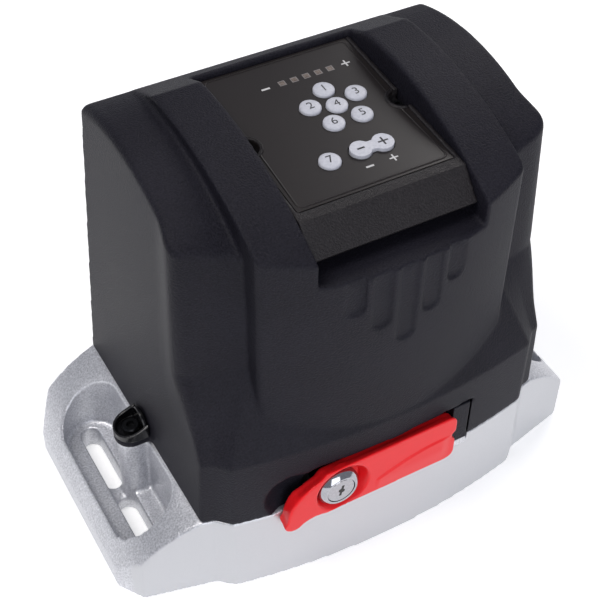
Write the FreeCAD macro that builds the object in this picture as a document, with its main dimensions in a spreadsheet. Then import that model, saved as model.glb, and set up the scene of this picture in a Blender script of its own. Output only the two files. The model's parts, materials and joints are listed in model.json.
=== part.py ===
# Sliding gate motor: cast base with a worm gearbox, a vertical motor, its control board,
# a moulded cover with a sunken keypad, and a key-locked release lever on the front.
# Frame: +Z up, front (lever and keypad mouth) towards -Y, flanges at +X and -X.
# Origin: on the base face, midway between the fixing slots of the two flanges.
import FreeCAD, Part
import math
import os
import Sketcher

V = FreeCAD.Vector
os.makedirs("parts", exist_ok=True)
doc = FreeCAD.newDocument("gate_motor")

# ---------------------------------------------------------------- driving dimensions (mm, degrees)
sheet = doc.addObject("Spreadsheet::Sheet", "sizes")

SIZES = {
    # base casting
    "base_half": 140.5, "base_top": 53.0, "base_back": 70.0, "base_bulge": 414.0,
    "step_outer_x": 94.0, "step_outer_y": 70.7, "step_inner_x": 86.3, "step_inner_y": 77.4,
    "ear_front_x": 131.5, "ear_front_y": 61.8, "ear_side_y": 48.3, "ear_back_x": 129.5, "ear_back_y": 55.0,
    "dome_radius": 78.77, "tray_floor": 8.0, "tray_wall": 6.0,
    # flange pockets and fixing slots
    "pocket_x": 117.4, "pocket_half": 16.0, "pocket_end": 50.0, "pocket_floor": 15.0,
    "bridge_half": 4.6, "bridge_top": 9.0, "slot_x": 117.5, "slot_width": 10.5, "slot_long": 41.0,
    "slot_pitch": 50.2, "boss_x": 107.0, "boss_radius": 8.2, "boss_top": 53.0, "screw_radius": 2.5,
    # cover
    "cover_half": 100.0, "cover_top_half": 94.0, "cover_top": 240.0, "cover_back_top": 52.6,
    "cover_wall": 3.0, "skirt_top": 97.0, "flare_top": 144.0, "shoulder_roof": 232.6,
    "shoulder_arc": 125.0, "roof_apex_y": 13.0, "roof_knee": 30.0, "roof_back": 225.8,
    "bay_half": 68.5, "bay_roof": 238.0, "bay_arc": 180.0, "bay_apex": 86.0, "bay_bulge": 172.0,
    "recess_half": 43.0, "recess_back": 43.0, "mouth_floor": 199.0,
    "flute_pitch": 13.2, "flute_width": 10.4, "flute_deep": 1.2,
    "window_side": 47.0, "window_top": 76.0, "window_gap": 0.6, "swing_radius": 21.0,
    # keypad
    "panel_tilt": 3.6, "panel_mid_y": -5.0, "panel_mid_z": 224.4, "panel_half": 40.0,
    "panel_thick": 2.0, "key_radius": 5.3,
    # release lever and lock
    "lever_front": 89.5, "lever_thick": 8.0, "lever_low": 48.5, "lever_high": 80.5,
    "hinge_x": 30.0, "hinge_y": 73.0, "hinge_shaft": 4.5, "lock_x": 32.5, "lock_z": 62.5, "lock_radius": 9.2,
    # gear train and motor
    "gear_y": 5.0, "gear_z": 78.0, "wheel_teeth": 36, "worm_module": 2.0, "worm_radius": 9.0,
    "shaft_radius": 10.0, "pinion_teeth": 16, "pinion_module": 4.0, "pinion_front": 74.0,
    "pinion_width": 28.0, "tower_top": 124.0, "motor_radius": 45.0, "stator_low": 140.0,
    "stator_high": 176.0, "motor_top": 190.0, "rotor_radius": 26.0, "air_gap": 0.5, "fit_gap": 0.05,
}
for row, (alias, value) in enumerate(SIZES.items(), start=1):
    sheet.set("A%d" % row, alias)
    sheet.set("B%d" % row, str(value))
    sheet.setAlias("B%d" % row, alias)
doc.recompute()


class Dim(float):
    """A number that also carries the sheet formula it came from."""

    def __new__(cls, value, formula):
        made = float.__new__(cls, value)
        made.formula = formula
        return made

    def combine(self, other, sign, flip=False):
        text = getattr(other, "formula", repr(float(other)))
        a, b = (text, self.formula) if flip else (self.formula, text)
        x, y = (float(other), float(self)) if flip else (float(self), float(other))
        value = {"+": x + y, "-": x - y, "*": x * y, "/": x / y if y else 0.0}[sign]
        return Dim(value, "(%s %s %s)" % (a, sign, b))

    def __add__(self, other):
        return self.combine(other, "+")

    def __radd__(self, other):
        return self.combine(other, "+", True)

    def __sub__(self, other):
        return self.combine(other, "-")

    def __rsub__(self, other):
        return self.combine(other, "-", True)

    def __mul__(self, other):
        return self.combine(other, "*")

    def __rmul__(self, other):
        return self.combine(other, "*", True)

    def __truediv__(self, other):
        return self.combine(other, "/")

    def __neg__(self):
        return Dim(-float(self), "(-1 * %s)" % self.formula)


def size(alias):
    return Dim(sheet.get(alias), "sizes." + alias)


def bind(thing, prop, value):
    """Sets a size, and ties it to the sheet when it comes from there."""
    if isinstance(value, Dim):
        thing.setExpression(prop, value.formula)
    else:
        setattr(thing, prop, value)


# ---------------------------------------------------------------- modelling helpers
NODES = []


def keep(thing, label):
    """Marks an object as a finished piece of the product."""
    thing.Label = label
    NODES.append(thing)
    return thing


def place(thing, at, turn=None):
    """Moves a primitive; each coordinate may be tied to the sheet."""
    turn = turn or FreeCAD.Rotation()
    thing.Placement = FreeCAD.Placement(V(*[float(c) for c in at]), turn)
    for axis, coordinate in zip("xyz", at):
        if isinstance(coordinate, Dim):
            thing.setExpression("Placement.Base." + axis, coordinate.formula)
    return thing


UP = FreeCAD.Rotation()
ALONG_Y = FreeCAD.Rotation(V(1, 0, 0), -90)
ALONG_X = FreeCAD.Rotation(V(0, 1, 0), 90)


def box(name, low, high):
    """A block between two corners."""
    made = doc.addObject("Part::Box", name)
    for prop, a, b in zip(("Length", "Width", "Height"), low, high):
        bind(made, prop, b - a)
    return place(made, low)


def rod(name, radius, length, at, turn=UP):
    made = doc.addObject("Part::Cylinder", name)
    bind(made, "Radius", radius)
    bind(made, "Height", length)
    return place(made, at, turn)


def cone(name, radius1, radius2, length, at, turn=UP):
    made = doc.addObject("Part::Cone", name)
    bind(made, "Radius1", radius1)
    bind(made, "Radius2", radius2)
    bind(made, "Height", length)
    return place(made, at, turn)


def join(name, pieces):
    made = doc.addObject("Part::MultiFuse", name)
    made.Shapes = pieces
    made.Refine = True
    return made


def overlap(name, first, second):
    made = doc.addObject("Part::Common", name)
    made.Base, made.Tool = first, second
    return made


def cut(name, base, tools):
    made = doc.addObject("Part::Cut", name)
    made.Base = base
    made.Tool = tools[0] if len(tools) == 1 else join(name + "_tools", tools)
    made.Refine = True
    return made


def group(name, pieces):
    """Separate solids of one kind, kept in one node."""
    made = doc.addObject("Part::Compound", name)
    made.Links = pieces
    return made


def round_edges(name, base, radius, chosen):
    """Rounds the edges of a shape that the test picks out."""
    doc.recompute()
    made = doc.addObject("Part::Fillet", name)
    made.Base = base
    made.Edges = [(i + 1, float(radius), float(radius))
                  for i, edge in enumerate(base.Shape.Edges) if chosen(edge)]
    return made


def body(name):
    return doc.addObject("PartDesign::Body", name)


def outline(owner, name, plane, points, lift=0.0):
    """A closed sketch on an origin plane of the body. A point is (u, v), or (u, v, r) when
    the stretch that ends there is an arc of radius r, turning left when r is positive."""
    sketch = owner.newObject("Sketcher::SketchObject", name)
    origin = [f for f in owner.Origin.OriginFeatures if f.Role == plane][0]
    sketch.AttachmentSupport = [(origin, "")]
    sketch.MapMode = "FlatFace"
    sketch.AttachmentOffset = FreeCAD.Placement(V(0, 0, float(lift)), UP)
    if isinstance(lift, Dim):
        sketch.setExpression("AttachmentOffset.Base.z", lift.formula)
    count = len(points)
    for i, point in enumerate(points):
        start = V(float(points[i - 1][0]), float(points[i - 1][1]), 0)
        end = V(float(point[0]), float(point[1]), 0)
        if len(point) == 2:
            sketch.addGeometry(Part.LineSegment(start, end))
        else:
            sketch.addGeometry(arc_between(start, end, float(point[2])))
    for i, point in enumerate(points):
        before, after = i, (i + 1) % count
        last = 2 if len(point) == 2 or float(point[2]) > 0 else 1
        first = 1 if len(points[after]) == 2 or float(points[after][2]) > 0 else 2
        sketch.addConstraint(Sketcher.Constraint("Coincident", before, last, after, first))
        for kind, value in (("DistanceX", point[0]), ("DistanceY", point[1])):
            index = sketch.addConstraint(Sketcher.Constraint(kind, -1, 1, before, last, float(value)))
            if isinstance(value, Dim):
                sketch.setExpression("Constraints[%d]" % index, value.formula)
        if len(point) == 3:
            index = sketch.addConstraint(Sketcher.Constraint("Radius", before, abs(float(point[2]))))
            if isinstance(point[2], Dim) and point[2] > 0:
                sketch.setExpression("Constraints[%d]" % index, point[2].formula)
    return sketch


def arc_between(start, end, radius):
    """The short arc from start to end; the sketcher stores every arc counter-clockwise."""
    if radius < 0:
        start, end, radius = end, start, -radius
    chord = end - start
    half = chord.Length / 2
    inward = V(-chord.y, chord.x, 0).normalize()
    centre = (start + end) / 2 + inward * math.sqrt(max(radius * radius - half * half, 0))
    first = math.atan2(start.y - centre.y, start.x - centre.x)
    last = math.atan2(end.y - centre.y, end.x - centre.x)
    circle = Part.Circle(centre, V(0, 0, 1), radius)
    return Part.ArcOfCircle(circle, first, last if last > first else last + 2 * math.pi)


def pad(owner, sketch, length, midplane=False, backwards=False):
    made = owner.newObject("PartDesign::Pad", sketch.Name + "_pad")
    made.Profile = sketch
    bind(made, "Length", length)
    made.Midplane = midplane
    made.Reversed = backwards
    owner.Tip = made
    return made


def loft(owner, first, second):
    made = owner.newObject("PartDesign::AdditiveLoft", first.Name + "_loft")
    made.Profile = first
    made.Sections = [second]
    made.Ruled = True
    owner.Tip = made
    return made


def stadium(name, x, y, half_width, half_long, low, height):
    """A round-ended slot shape that runs along Y."""
    flat = half_long - half_width
    ends = [rod("%s_end%d" % (name, i), half_width, height, (x, y + way * flat, low))
            for i, way in enumerate((-1, 1))]
    middle = box(name + "_middle", (x - half_width, y - flat, low), (x + half_width, y + flat, low + height))
    return join(name, ends + [middle])


def ring(name, outer, inner, length, at, turn=UP):
    """A tube or washer."""
    return cut(name, rod(name + "_outer", outer, length, at, turn),
               [rod(name + "_bore", inner, length, at, turn)])


def screw(name, radius, long, head_radius, head_long, at, turn=UP):
    """A cap screw; its head starts at the given point and its shank runs the other way."""
    way = turn.multVec(V(0, 0, 1))
    tail = [c - w * long if w else c for c, w in zip(at, way)]
    head = rod(name + "_head", head_radius, head_long, at, turn)
    shank = rod(name + "_shank", radius, long, tail, turn)
    return join(name, [head, shank])


# ---------------------------------------------------------------- room for the release lever
def lever_points():
    """Face of the release lever: a rounded bar with a pointed tip and a bite at its right."""
    low, high = size("lever_low"), size("lever_high")
    return [(31.3, low), (36.2, low + 4.9, 4.9), (36.2, 62.3), (36.2, 68.7, -3.4), (36.2, high - 4.9),
            (31.3, high, 4.9), (-40.0, high - 1.2), (-60.5, 67.0, 27.0), (-64.0, 52.0, 24.0),
            (-53.2, 46.9, 6.1), (-40.0, low - 1.2, -16.0)]


def lever_recess():
    """Cutter for the shallow recess that the lever lies in, a little larger all round."""
    reach, seat = 120.0, 81.0
    gap = doc.addObject("Part::Offset2D", "recess_outline")
    gap.Source = outline(body("recess_bar"), "recess_lever", "XZ_Plane", lever_points(), reach)
    gap.Value = float(size("window_gap"))
    made = doc.addObject("Part::Extrusion", "lever_recess")
    made.Base = gap
    made.Dir = V(0, 1, 0)
    made.LengthFwd = reach - seat
    made.Solid = True
    return made


LEVER_RECESS = lever_recess()


# ---------------------------------------------------------------- base casting
def front_plan():
    """Front corners of the base and of the cover's skirt, for positive x."""
    return [(size("step_inner_x"), -size("step_inner_y")), (size("step_outer_x"), -size("step_outer_y"))]


def flange_side(side, mark):
    """One flange: its pocket, the slot channel with a low bridge, and the screw boss."""
    x, slot_x, boss_x = side * size("pocket_x"), side * size("slot_x"), side * size("boss_x")
    floor, width = size("pocket_floor"), size("slot_width") / 2
    pocket = stadium("pocket_" + mark, x, 0.0, size("pocket_half"), size("pocket_end"), floor, 60.0)
    slots = []
    for place_name, way in (("front", -1), ("back", 1)):
        y = way * size("slot_pitch") / 2
        slots.append(stadium("slot_%s_%s" % (place_name, mark), slot_x, y, width, size("slot_long") / 2,
                             -1.0, 30.0))
    sunk = box("bridge_gap_" + mark, (slot_x - width, -size("bridge_half") - width, size("bridge_top")),
               (slot_x + width, size("bridge_half") + width, 30.0))
    boss = rod("screw_boss_" + mark, size("boss_radius"), size("boss_top") - 1.0, (boss_x, 0.0, 1.0))
    hole = rod("screw_hole_" + mark, size("screw_radius") + 0.1, 20.0, (boss_x, 0.0, size("boss_top") - 20.0))
    return [pocket, sunk], boss, slots, hole


def base_casting():
    inner, outer = front_plan()
    ear = [(size("ear_front_x"), -size("ear_front_y")), (size("base_half"), -size("ear_side_y")),
           (size("base_half"), size("ear_back_y")), (size("ear_back_x"), size("base_back"))]
    plan = [(inner[0], inner[1], size("base_bulge")), outer] + ear
    plan += [(-x, y) for x, y in reversed(ear)] + [(-outer[0], outer[1]), (-inner[0], inner[1])]
    block = body("base_block")
    pad(block, outline(block, "base_plan", "XY_Plane", plan), size("base_top"))

    crown = body("base_crown")
    half, top, edge_x, edge_z = size("base_half"), size("base_top"), size("cover_half"), 14.9
    dome = size("dome_radius")
    profile = [(-edge_x, top), (-half, edge_z, dome), (-half, -1.0), (half, -1.0), (half, edge_z),
               (edge_x, top, dome)]
    pad(crown, outline(crown, "base_section", "XZ_Plane", profile), 260.0, midplane=True)
    form = overlap("base_form", block, crown)

    left = flange_side(-1, "left")
    right = flange_side(1, "right")
    shell = cut("base_pocketed", form, left[0] + right[0])

    wall, floor = size("tray_wall"), size("tray_floor")
    tray_x = size("cover_half") - wall - 2.0
    tray_front = size("ear_front_y") - 1.0
    tray = box("tray", (-tray_x, -tray_front, floor), (tray_x, size("base_back") - wall, 60.0))
    nose = box("tray_nose", (-70.0, -74.0, floor), (70.0, -tray_front + 1.0, 60.0))
    hollow = cut("base_hollow", shell, [tray, nose])

    # gearbox tower: wheel chamber, worm column, motor seat and the output shaft's bearing tube
    gear_y, gear_z = size("gear_y"), size("gear_z")
    worm_x = worm_distance()
    tower = box("tower", (-47.0, gear_y - 20.0, floor - 1.0),
                (worm_x + 21.0, gear_y + 20.0, size("tower_top") - 2.0))
    seat = rod("motor_seat", size("motor_radius"), 8.0, (worm_x, gear_y, size("tower_top") - 8.0))
    tube = rod("shaft_tube", 28.0, size("base_back") + 1.0 - gear_y - 18.0, (0.0, gear_y + 18.0, gear_z),
               ALONG_Y)
    guide = box("rod_guide", (size("hinge_x") - 7.0, -50.0, floor - 1.0),
                (size("hinge_x") + 7.0, -43.0, 33.0))
    hinge_block = box("hinge_block", (size("hinge_x") - 9.0, -size("hinge_y") - 1.0, floor - 1.0),
                      (size("hinge_x") + 9.0, -size("hinge_y") + 13.0, 45.0))
    whole = join("base_whole", [hollow, left[1], right[1], tower, seat, tube, hinge_block, guide])

    gap = size("fit_gap")
    chamber = rod("wheel_chamber", 39.5, 33.0, (0.0, gear_y - 21.0, gear_z), ALONG_Y)
    worm_way = rod("worm_way", 12.5, 58.0, (worm_x, gear_y, 49.0))
    lower_seat = rod("worm_lower_seat", 16.0, 10.1, (worm_x, gear_y, BEARING_LOW))
    upper_seat = rod("worm_upper_seat", 16.0, 18.0, (worm_x, gear_y, size("tower_top") - 17.0))
    shaft_way = rod("shaft_way", 13.0, 80.0, (0.0, gear_y, gear_z), ALONG_Y)
    rear_seat = rod("bearing_seat", 21.0, 40.0, (0.0, 43.0, gear_z), ALONG_Y)
    plate_relief = box("plate_relief", (-48.0, gear_y - 31.2, size("tower_top") - 9.0),
                       (43.5, gear_y - 20.0, size("tower_top") - 3.6))
    knuckle_notch = rod("knuckle_notch", size("swing_radius"), 20.0,
                        (size("hinge_x"), -size("hinge_y"), size("lever_low") - 0.5))
    hinge_bore = rod("hinge_bore", size("hinge_shaft") + gap, 60.0, (size("hinge_x"), -size("hinge_y"), 11.0))
    cam_slot = box("cam_slot", (size("hinge_x") - 10.0, -size("hinge_y") - 9.3, 19.0),
                   (size("hinge_x") + 10.0, -size("hinge_y") + 20.0, 31.0))
    rod_bore = rod("rod_bore", 4.0 + gap, 60.0, (size("hinge_x"), -55.0, 25.0), ALONG_Y)
    cable_way = rod("cable_way", 12.0, 20.0, (-70.0, 0.0, -1.0))
    tools = [chamber, worm_way, lower_seat, upper_seat, shaft_way, rear_seat, LEVER_RECESS, knuckle_notch,
             plate_relief, hinge_bore, cam_slot, rod_bore, cable_way, left[3], right[3]] + left[2] + right[2]
    for i in range(4):
        tools.append(rod("cover_tap_%d" % i, 2.1, 4.9, gear_cover_bolt(i, gear_y - 20.1), ALONG_Y))
        tools.append(rod("tie_tap_%d" % i, 2.1, 12.0, tie_bolt(i, size("tower_top") - 11.0)))
    keep(cut("base_bored", whole, tools), "base_casting")


def worm_distance():
    """Centre distance of the worm from the wheel."""
    return size("worm_module") * size("wheel_teeth") / 2 + size("worm_radius")


def gear_cover_bolt(index, y):
    """One of the four corner screws of the wheel chamber's cover."""
    across, up = (-1, 1, -1, 1)[index], (-1, -1, 1, 1)[index]
    return (-2.0 + across * 39.0, y, size("gear_z") + up * 37.0)


def tie_bolt(index, z):
    """One of the four long bolts that clamp the motor, set 41.5 mm from its axis."""
    angle = math.radians(65 + 90 * index)
    reach = 41.5
    return (worm_distance() + reach * math.cos(angle), size("gear_y") + reach * math.sin(angle), z)


BEARING_LOW = 39.0
base_casting()


# ---------------------------------------------------------------- moulded cover
# Front of the cover's plan at each level: the end of the bulged middle, a point on the line
# beside it, where that line meets the side wall, the corner radius there and the bulge radius.
SKIRT_FRONT = ((86.3, -77.4), (93.0, -70.5), -68.6, 1.5, 414.0)
FLARE_FRONT = ((68.5, -61.6), (80.0, -56.6), -49.3, 11.0, 394.0)
ROOF_FRONT = ((68.5, -57.4), (80.0, -51.9), -45.3, 11.0, 394.0)


def drafted(z, low, high):
    """A wall position that leans evenly from the base's top to the cover's top."""
    return low + (high - low) * (z - size("base_top")) / (size("cover_top") - size("base_top"))


def plan_points(z, front, inset):
    """Plan of the cover at one height: bulged front, rounded corners, straight sides and back."""
    end, beside, meet, radius, bulge = front
    half = float(drafted(z, size("cover_half"), size("cover_top_half"))) - inset
    back = float(drafted(z, size("base_back"), size("cover_back_top"))) - inset
    slope = (meet - beside[1]) / (half + inset - beside[0])
    lean = math.hypot(1.0, slope)
    near = radius - inset if radius > inset else 1.0
    meet_in = meet + inset * (lean - slope)
    centre_x, centre_y = half - near, meet_in - slope * near + near * lean
    bend = (centre_x + near * slope / lean, centre_y - near / lean)
    shift = inset * lean
    right = [(end[0] - inset, end[1] + shift), (beside[0] - inset, beside[1] + shift - inset * slope), bend]
    return [(*right[0], bulge), right[1], bend, (half, centre_y, near), (half, back), (-half, back),
            (-half, centre_y), (-bend[0], bend[1], near), (-right[1][0], right[1][1]),
            (-right[0][0], right[0][1])]


def cover_storey(name, levels, inset):
    """The lofted stretch of the cover between two levels, each given as (z, front)."""
    owner = body(name)
    plans = [outline(owner, "%s_plan_%d" % (name, i), "XY_Plane", plan_points(z, front, inset), z)
             for i, (z, front) in enumerate(levels)]
    return loft(owner, *plans)


def roof_z(y, top, radius):
    """Height of a domed roof above a place along Y."""
    return top - radius + math.sqrt(radius * radius - (y - float(size("roof_apex_y"))) ** 2)


def shoulders(inset, mark):
    """The lower part of the cover's top at the left and right, under an arched roof."""
    low, top = float(size("flare_top")), float(size("cover_top"))
    block = cover_storey("shoulder_" + mark, [(low, FLARE_FRONT), (top, ROOF_FRONT)], inset)
    roof, arc = float(size("shoulder_roof")) - inset, float(size("shoulder_arc")) - inset
    reach = 75.0
    under = body("shoulder_arch_" + mark)
    profile = [(reach, low), (reach, roof_z(reach, roof, arc)), (-reach, roof_z(-reach, roof, arc), arc),
               (-reach, low)]
    pad(under, outline(under, "shoulder_side_" + mark, "YZ_Plane", profile), 2 * size("cover_half"),
        midplane=True)
    return overlap("shoulder_form_" + mark, block, under)


def central_bay(inset, mark):
    """The taller middle of the cover: bulged front, arched roof that slopes down at the back."""
    low = float(size("base_top")) - (1.0 if inset else 0.0)
    top, arc = float(size("bay_roof")) - inset, float(size("bay_arc")) - inset
    knee, edge = float(size("roof_knee")), float(size("roof_back"))
    reach = float(size("bay_apex")) + 2.0
    back = [float(drafted(z, size("base_back"), size("cover_back_top"))) - inset for z in (low, edge)]
    side = [(back[0], low), (back[1], edge - 1.1 * inset), (knee, roof_z(knee, top, arc)),
            (-reach, roof_z(-reach, top, arc), arc), (-reach, low)]
    bay = body("bay_" + mark)
    pad(bay, outline(bay, "bay_side_" + mark, "YZ_Plane", side), 2 * (size("bay_half") - inset),
        midplane=True)
    bulge = float(size("bay_bulge")) - inset
    face = rod("bay_face_" + mark, bulge, 260.0, (0.0, bulge - float(size("bay_apex")) + inset, 0.0))
    return overlap("bay_form_" + mark, bay, face)


def cover_form(inset, mark):
    """All the stretches of the cover: the outer form, or the hollow when an inset is given."""
    low = float(size("base_top")) - (1.0 if inset else 0.0)
    skirt_top, flare_top = float(size("skirt_top")), float(size("flare_top"))
    skirt = cover_storey("skirt_" + mark, [(low, SKIRT_FRONT), (skirt_top, SKIRT_FRONT)], inset)
    flare = cover_storey("flare_" + mark, [(skirt_top, SKIRT_FRONT), (flare_top, FLARE_FRONT)], inset)
    return skirt, flare, shoulders(inset, mark), central_bay(inset, mark)


def upright(edge, x, y, slack=2.0):
    """True for a long, nearly vertical edge close to a place in plan."""
    middle = edge.CenterOfMass
    return edge.BoundBox.ZLength > 60 and abs(abs(middle.x) - x) < slack and abs(middle.y - y) < slack


def on_roof(edge, low, inner):
    """True for an edge of a roof, apart from those on the cover's back and inside the bay."""
    middle = edge.CenterOfMass
    ends = [v.Point for v in edge.Vertexes]
    flat_back = all(p.y > 50.0 for p in ends)
    return not flat_back and all(p.z > low for p in ends) and abs(middle.x) > inner


LUG_RADIUS = 9.4
LUG_HIGH = 4.0
CAP_FLOOR = 1.2
SCOOP_RADIUS = 20.0
SCOOP_AT = (-57.0, -95.0, 64.0)


def cover_shell():
    skirt, flare, shoulder, bay = cover_form(0.0, "outer")
    arched = round_edges("shoulder_round", shoulder, 4.0, lambda e: on_roof(e, 200.0, 69.0))
    bay_side = round_edges("bay_sides", bay, 5.0, lambda e: upright(e, 68.5, -71.8))
    outer = join("cover_outer", [skirt, flare, arched, bay_side])

    wall = float(size("cover_wall"))
    inner = join("inner_block", list(cover_form(wall, "inner")))
    half, floor = size("recess_half"), size("mouth_floor")
    well = box("recess_well", (-half - wall, -120.0, floor - wall),
               (half + wall, size("recess_back") + wall, 260.0))
    cavity = cut("cover_cavity", inner, [well])
    recess = box("recess", (-half, -120.0, floor), (half, size("recess_back"), 260.0))

    # lugs that stand over the screw bosses of the base
    lugs = []
    holes = []
    for side in (-1, 1):
        mark = "left" if side < 0 else "right"
        x = side * size("boss_x")
        lug = rod("lug_" + mark, LUG_RADIUS, LUG_HIGH, (x, 0.0, size("boss_top")))
        inner_x, outer_x = min(side * 97.5, x), max(side * 97.5, x)
        web = box("lug_web_" + mark, (inner_x, -LUG_RADIUS, size("boss_top")),
                  (outer_x, LUG_RADIUS, size("boss_top") + LUG_HIGH))
        lugs += [lug, web]
        holes.append(rod("lug_hole_" + mark, size("screw_radius") + 0.3, 20.0,
                         (x, 0.0, size("boss_top") - 1.0)))
    body_solid = join("cover_solid", [outer] + lugs)

    flutes = []
    depth = size("flute_deep")
    for i in range(5):
        x = (i - 2) * size("flute_pitch")
        bottom = 152.0 + 12.5 * abs(i - 2)
        radius = size("flute_width") / 2
        bulge = float(size("bay_bulge"))
        front_y = bulge - math.sqrt(bulge ** 2 - float(x) ** 2) - float(size("bay_apex"))
        channel = box("flute_%d" % i, (x - radius, -110.0, bottom + radius),
                      (x + radius, front_y + depth, floor + 1.0))
        end = rod("flute_end_%d" % i, radius, 110.0 + front_y + depth, (x, -110.0, bottom + radius), ALONG_Y)
        flutes += [channel, end]

    # lever window: a recess that follows the lever, open behind its middle, and a finger scoop
    side = size("window_side")
    window = box("lever_window", (-side, -120.0, 40.0), (size("hinge_x") + 6.0, -60.0, size("window_top")))
    knuckle = rod("lever_swing", size("swing_radius"), 41.0, (size("hinge_x"), -size("hinge_y"), 40.1))
    scoop = doc.addObject("Part::Sphere", "finger_scoop")
    scoop.Radius = SCOOP_RADIUS
    place(scoop, SCOOP_AT)
    arch = rod("shaft_arch", 29.0, 40.0, (0.0, 45.0, size("gear_z")), ALONG_Y)
    arch_foot = box("shaft_arch_foot", (-29.0, 45.0, 40.0), (29.0, 85.0, size("gear_z")))
    hollowed = cut("cover_hollowed", body_solid, [cavity])
    back_up = overlap("scoop_back", box("scoop_block", (-76.0, -84.5, 53.0), (-47.0, -70.0, 86.0)), outer)
    tools = [recess, LEVER_RECESS, window, knuckle, scoop, arch, arch_foot] + holes + flutes
    keep(cut("cover", join("cover_backed", [hollowed, back_up]), tools), "cover_shell")


cover_shell()


def screw_caps():
    """The two cover screws in their caps: a bowl in front, a pointed hood against the cover."""
    caps = []
    screws = []
    seat = size("boss_top") + LUG_HIGH
    rim, peak, wall_x, outer_x = seat + 4.0, seat + 11.0, 100.3, 118.0
    for side in (-1, 1):
        mark = "left" if side < 0 else "right"
        x = side * size("boss_x")
        screws.append(screw("cover_screw_" + mark, size("screw_radius"), 24.0, 4.6, 3.2,
                            (x, 0.0, seat + CAP_FLOOR)))
        round_part = rod("cap_round_" + mark, LUG_RADIUS, 15.0, (x, 0.0, seat))
        near, far = sorted((float(side * wall_x), float(x)))
        back = box("cap_back_" + mark, (near, -LUG_RADIUS, seat), (far, LUG_RADIUS, seat + 15.0))
        arch = body("cap_arch_" + mark)
        pointed = [(LUG_RADIUS, seat), (0.0, peak, 13.4), (-LUG_RADIUS, seat, 13.4)]
        pad(arch, outline(arch, "cap_arch_form_" + mark, "YZ_Plane", pointed), 2 * outer_x, midplane=True)
        hood = overlap("cap_hood_" + mark, join("cap_body_" + mark, [round_part, back]), arch)
        slope = body("cap_slope_" + mark)
        wedge = [(side * outer_x, rim), (side * outer_x, 90.0), (side * wall_x, 90.0), (side * wall_x, peak)]
        pad(slope, outline(slope, "cap_slope_form_" + mark, "XZ_Plane", wedge), 30.0, midplane=True)
        hollow = rod("cap_hollow_" + mark, LUG_RADIUS - 1.9, 20.0, (x, 0.0, seat + CAP_FLOOR))
        hole = rod("cap_hole_" + mark, size("screw_radius") + 0.3, 5.0, (x, 0.0, seat - 1.0))
        inside = box("cap_inside_" + mark, (-wall_x, -20.0, seat - 1.0), (wall_x, 20.0, 90.0))
        caps.append(cut("cap_" + mark, hood, [slope, hollow, hole, inside]))
    keep(group("cover_screw_pair", screws), "cover_screws")
    keep(group("cap_pair", caps), "screw_caps")


screw_caps()


# ---------------------------------------------------------------- keypad in the cover's recess
KEYS = {
    "key_1": (10.7, 11.5), "key_2": (-1.3, 2.9), "key_3": (23.3, 3.1), "key_4": (10.8, -0.8),
    "key_5": (18.2, -11.4), "key_6": (3.2, -11.3), "key_7": (-11.5, -33.1),
}
ROCKER = ((4.6, -32.8), (16.2, -32.8))
LAMPS = [(-4.3 + 6.5 * i, 24.7) for i in range(5)]
NOTCH_X, NOTCH_Y, NOTCH_RADIUS = 41.0, -9.0, 6.0
ROOF_LOW = -7.9
BOARD_TOP = -10.8
BOARD_THICK = 1.6
KEY_PLAY = 0.35
ROCKER_PLAY = 0.5


def tilt(thing):
    """Lays a piece built about the panel's middle on the sloping panel plane."""
    turn = FreeCAD.Rotation(V(1, 0, 0), float(size("panel_tilt")))
    return place(thing, (0.0, size("panel_mid_y"), size("panel_mid_z")), turn)


def on_panel(spot):
    """Plan position of a key, measured from the panel's middle."""
    return spot[0], spot[1] - float(size("panel_mid_y"))


def rocker_form(name, spread, low, height):
    ends = [rod("%s_end%d" % (name, i), size("key_radius") + spread, height, (*on_panel(spot), low))
            for i, spot in enumerate(ROCKER)]
    left, y = on_panel(ROCKER[0])
    right = on_panel(ROCKER[1])[0]
    neck = box(name + "_neck", (left, y - 3.0 - spread, low), (right, y + 3.0 + spread, low + height))
    return join(name, ends + [neck])


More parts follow.
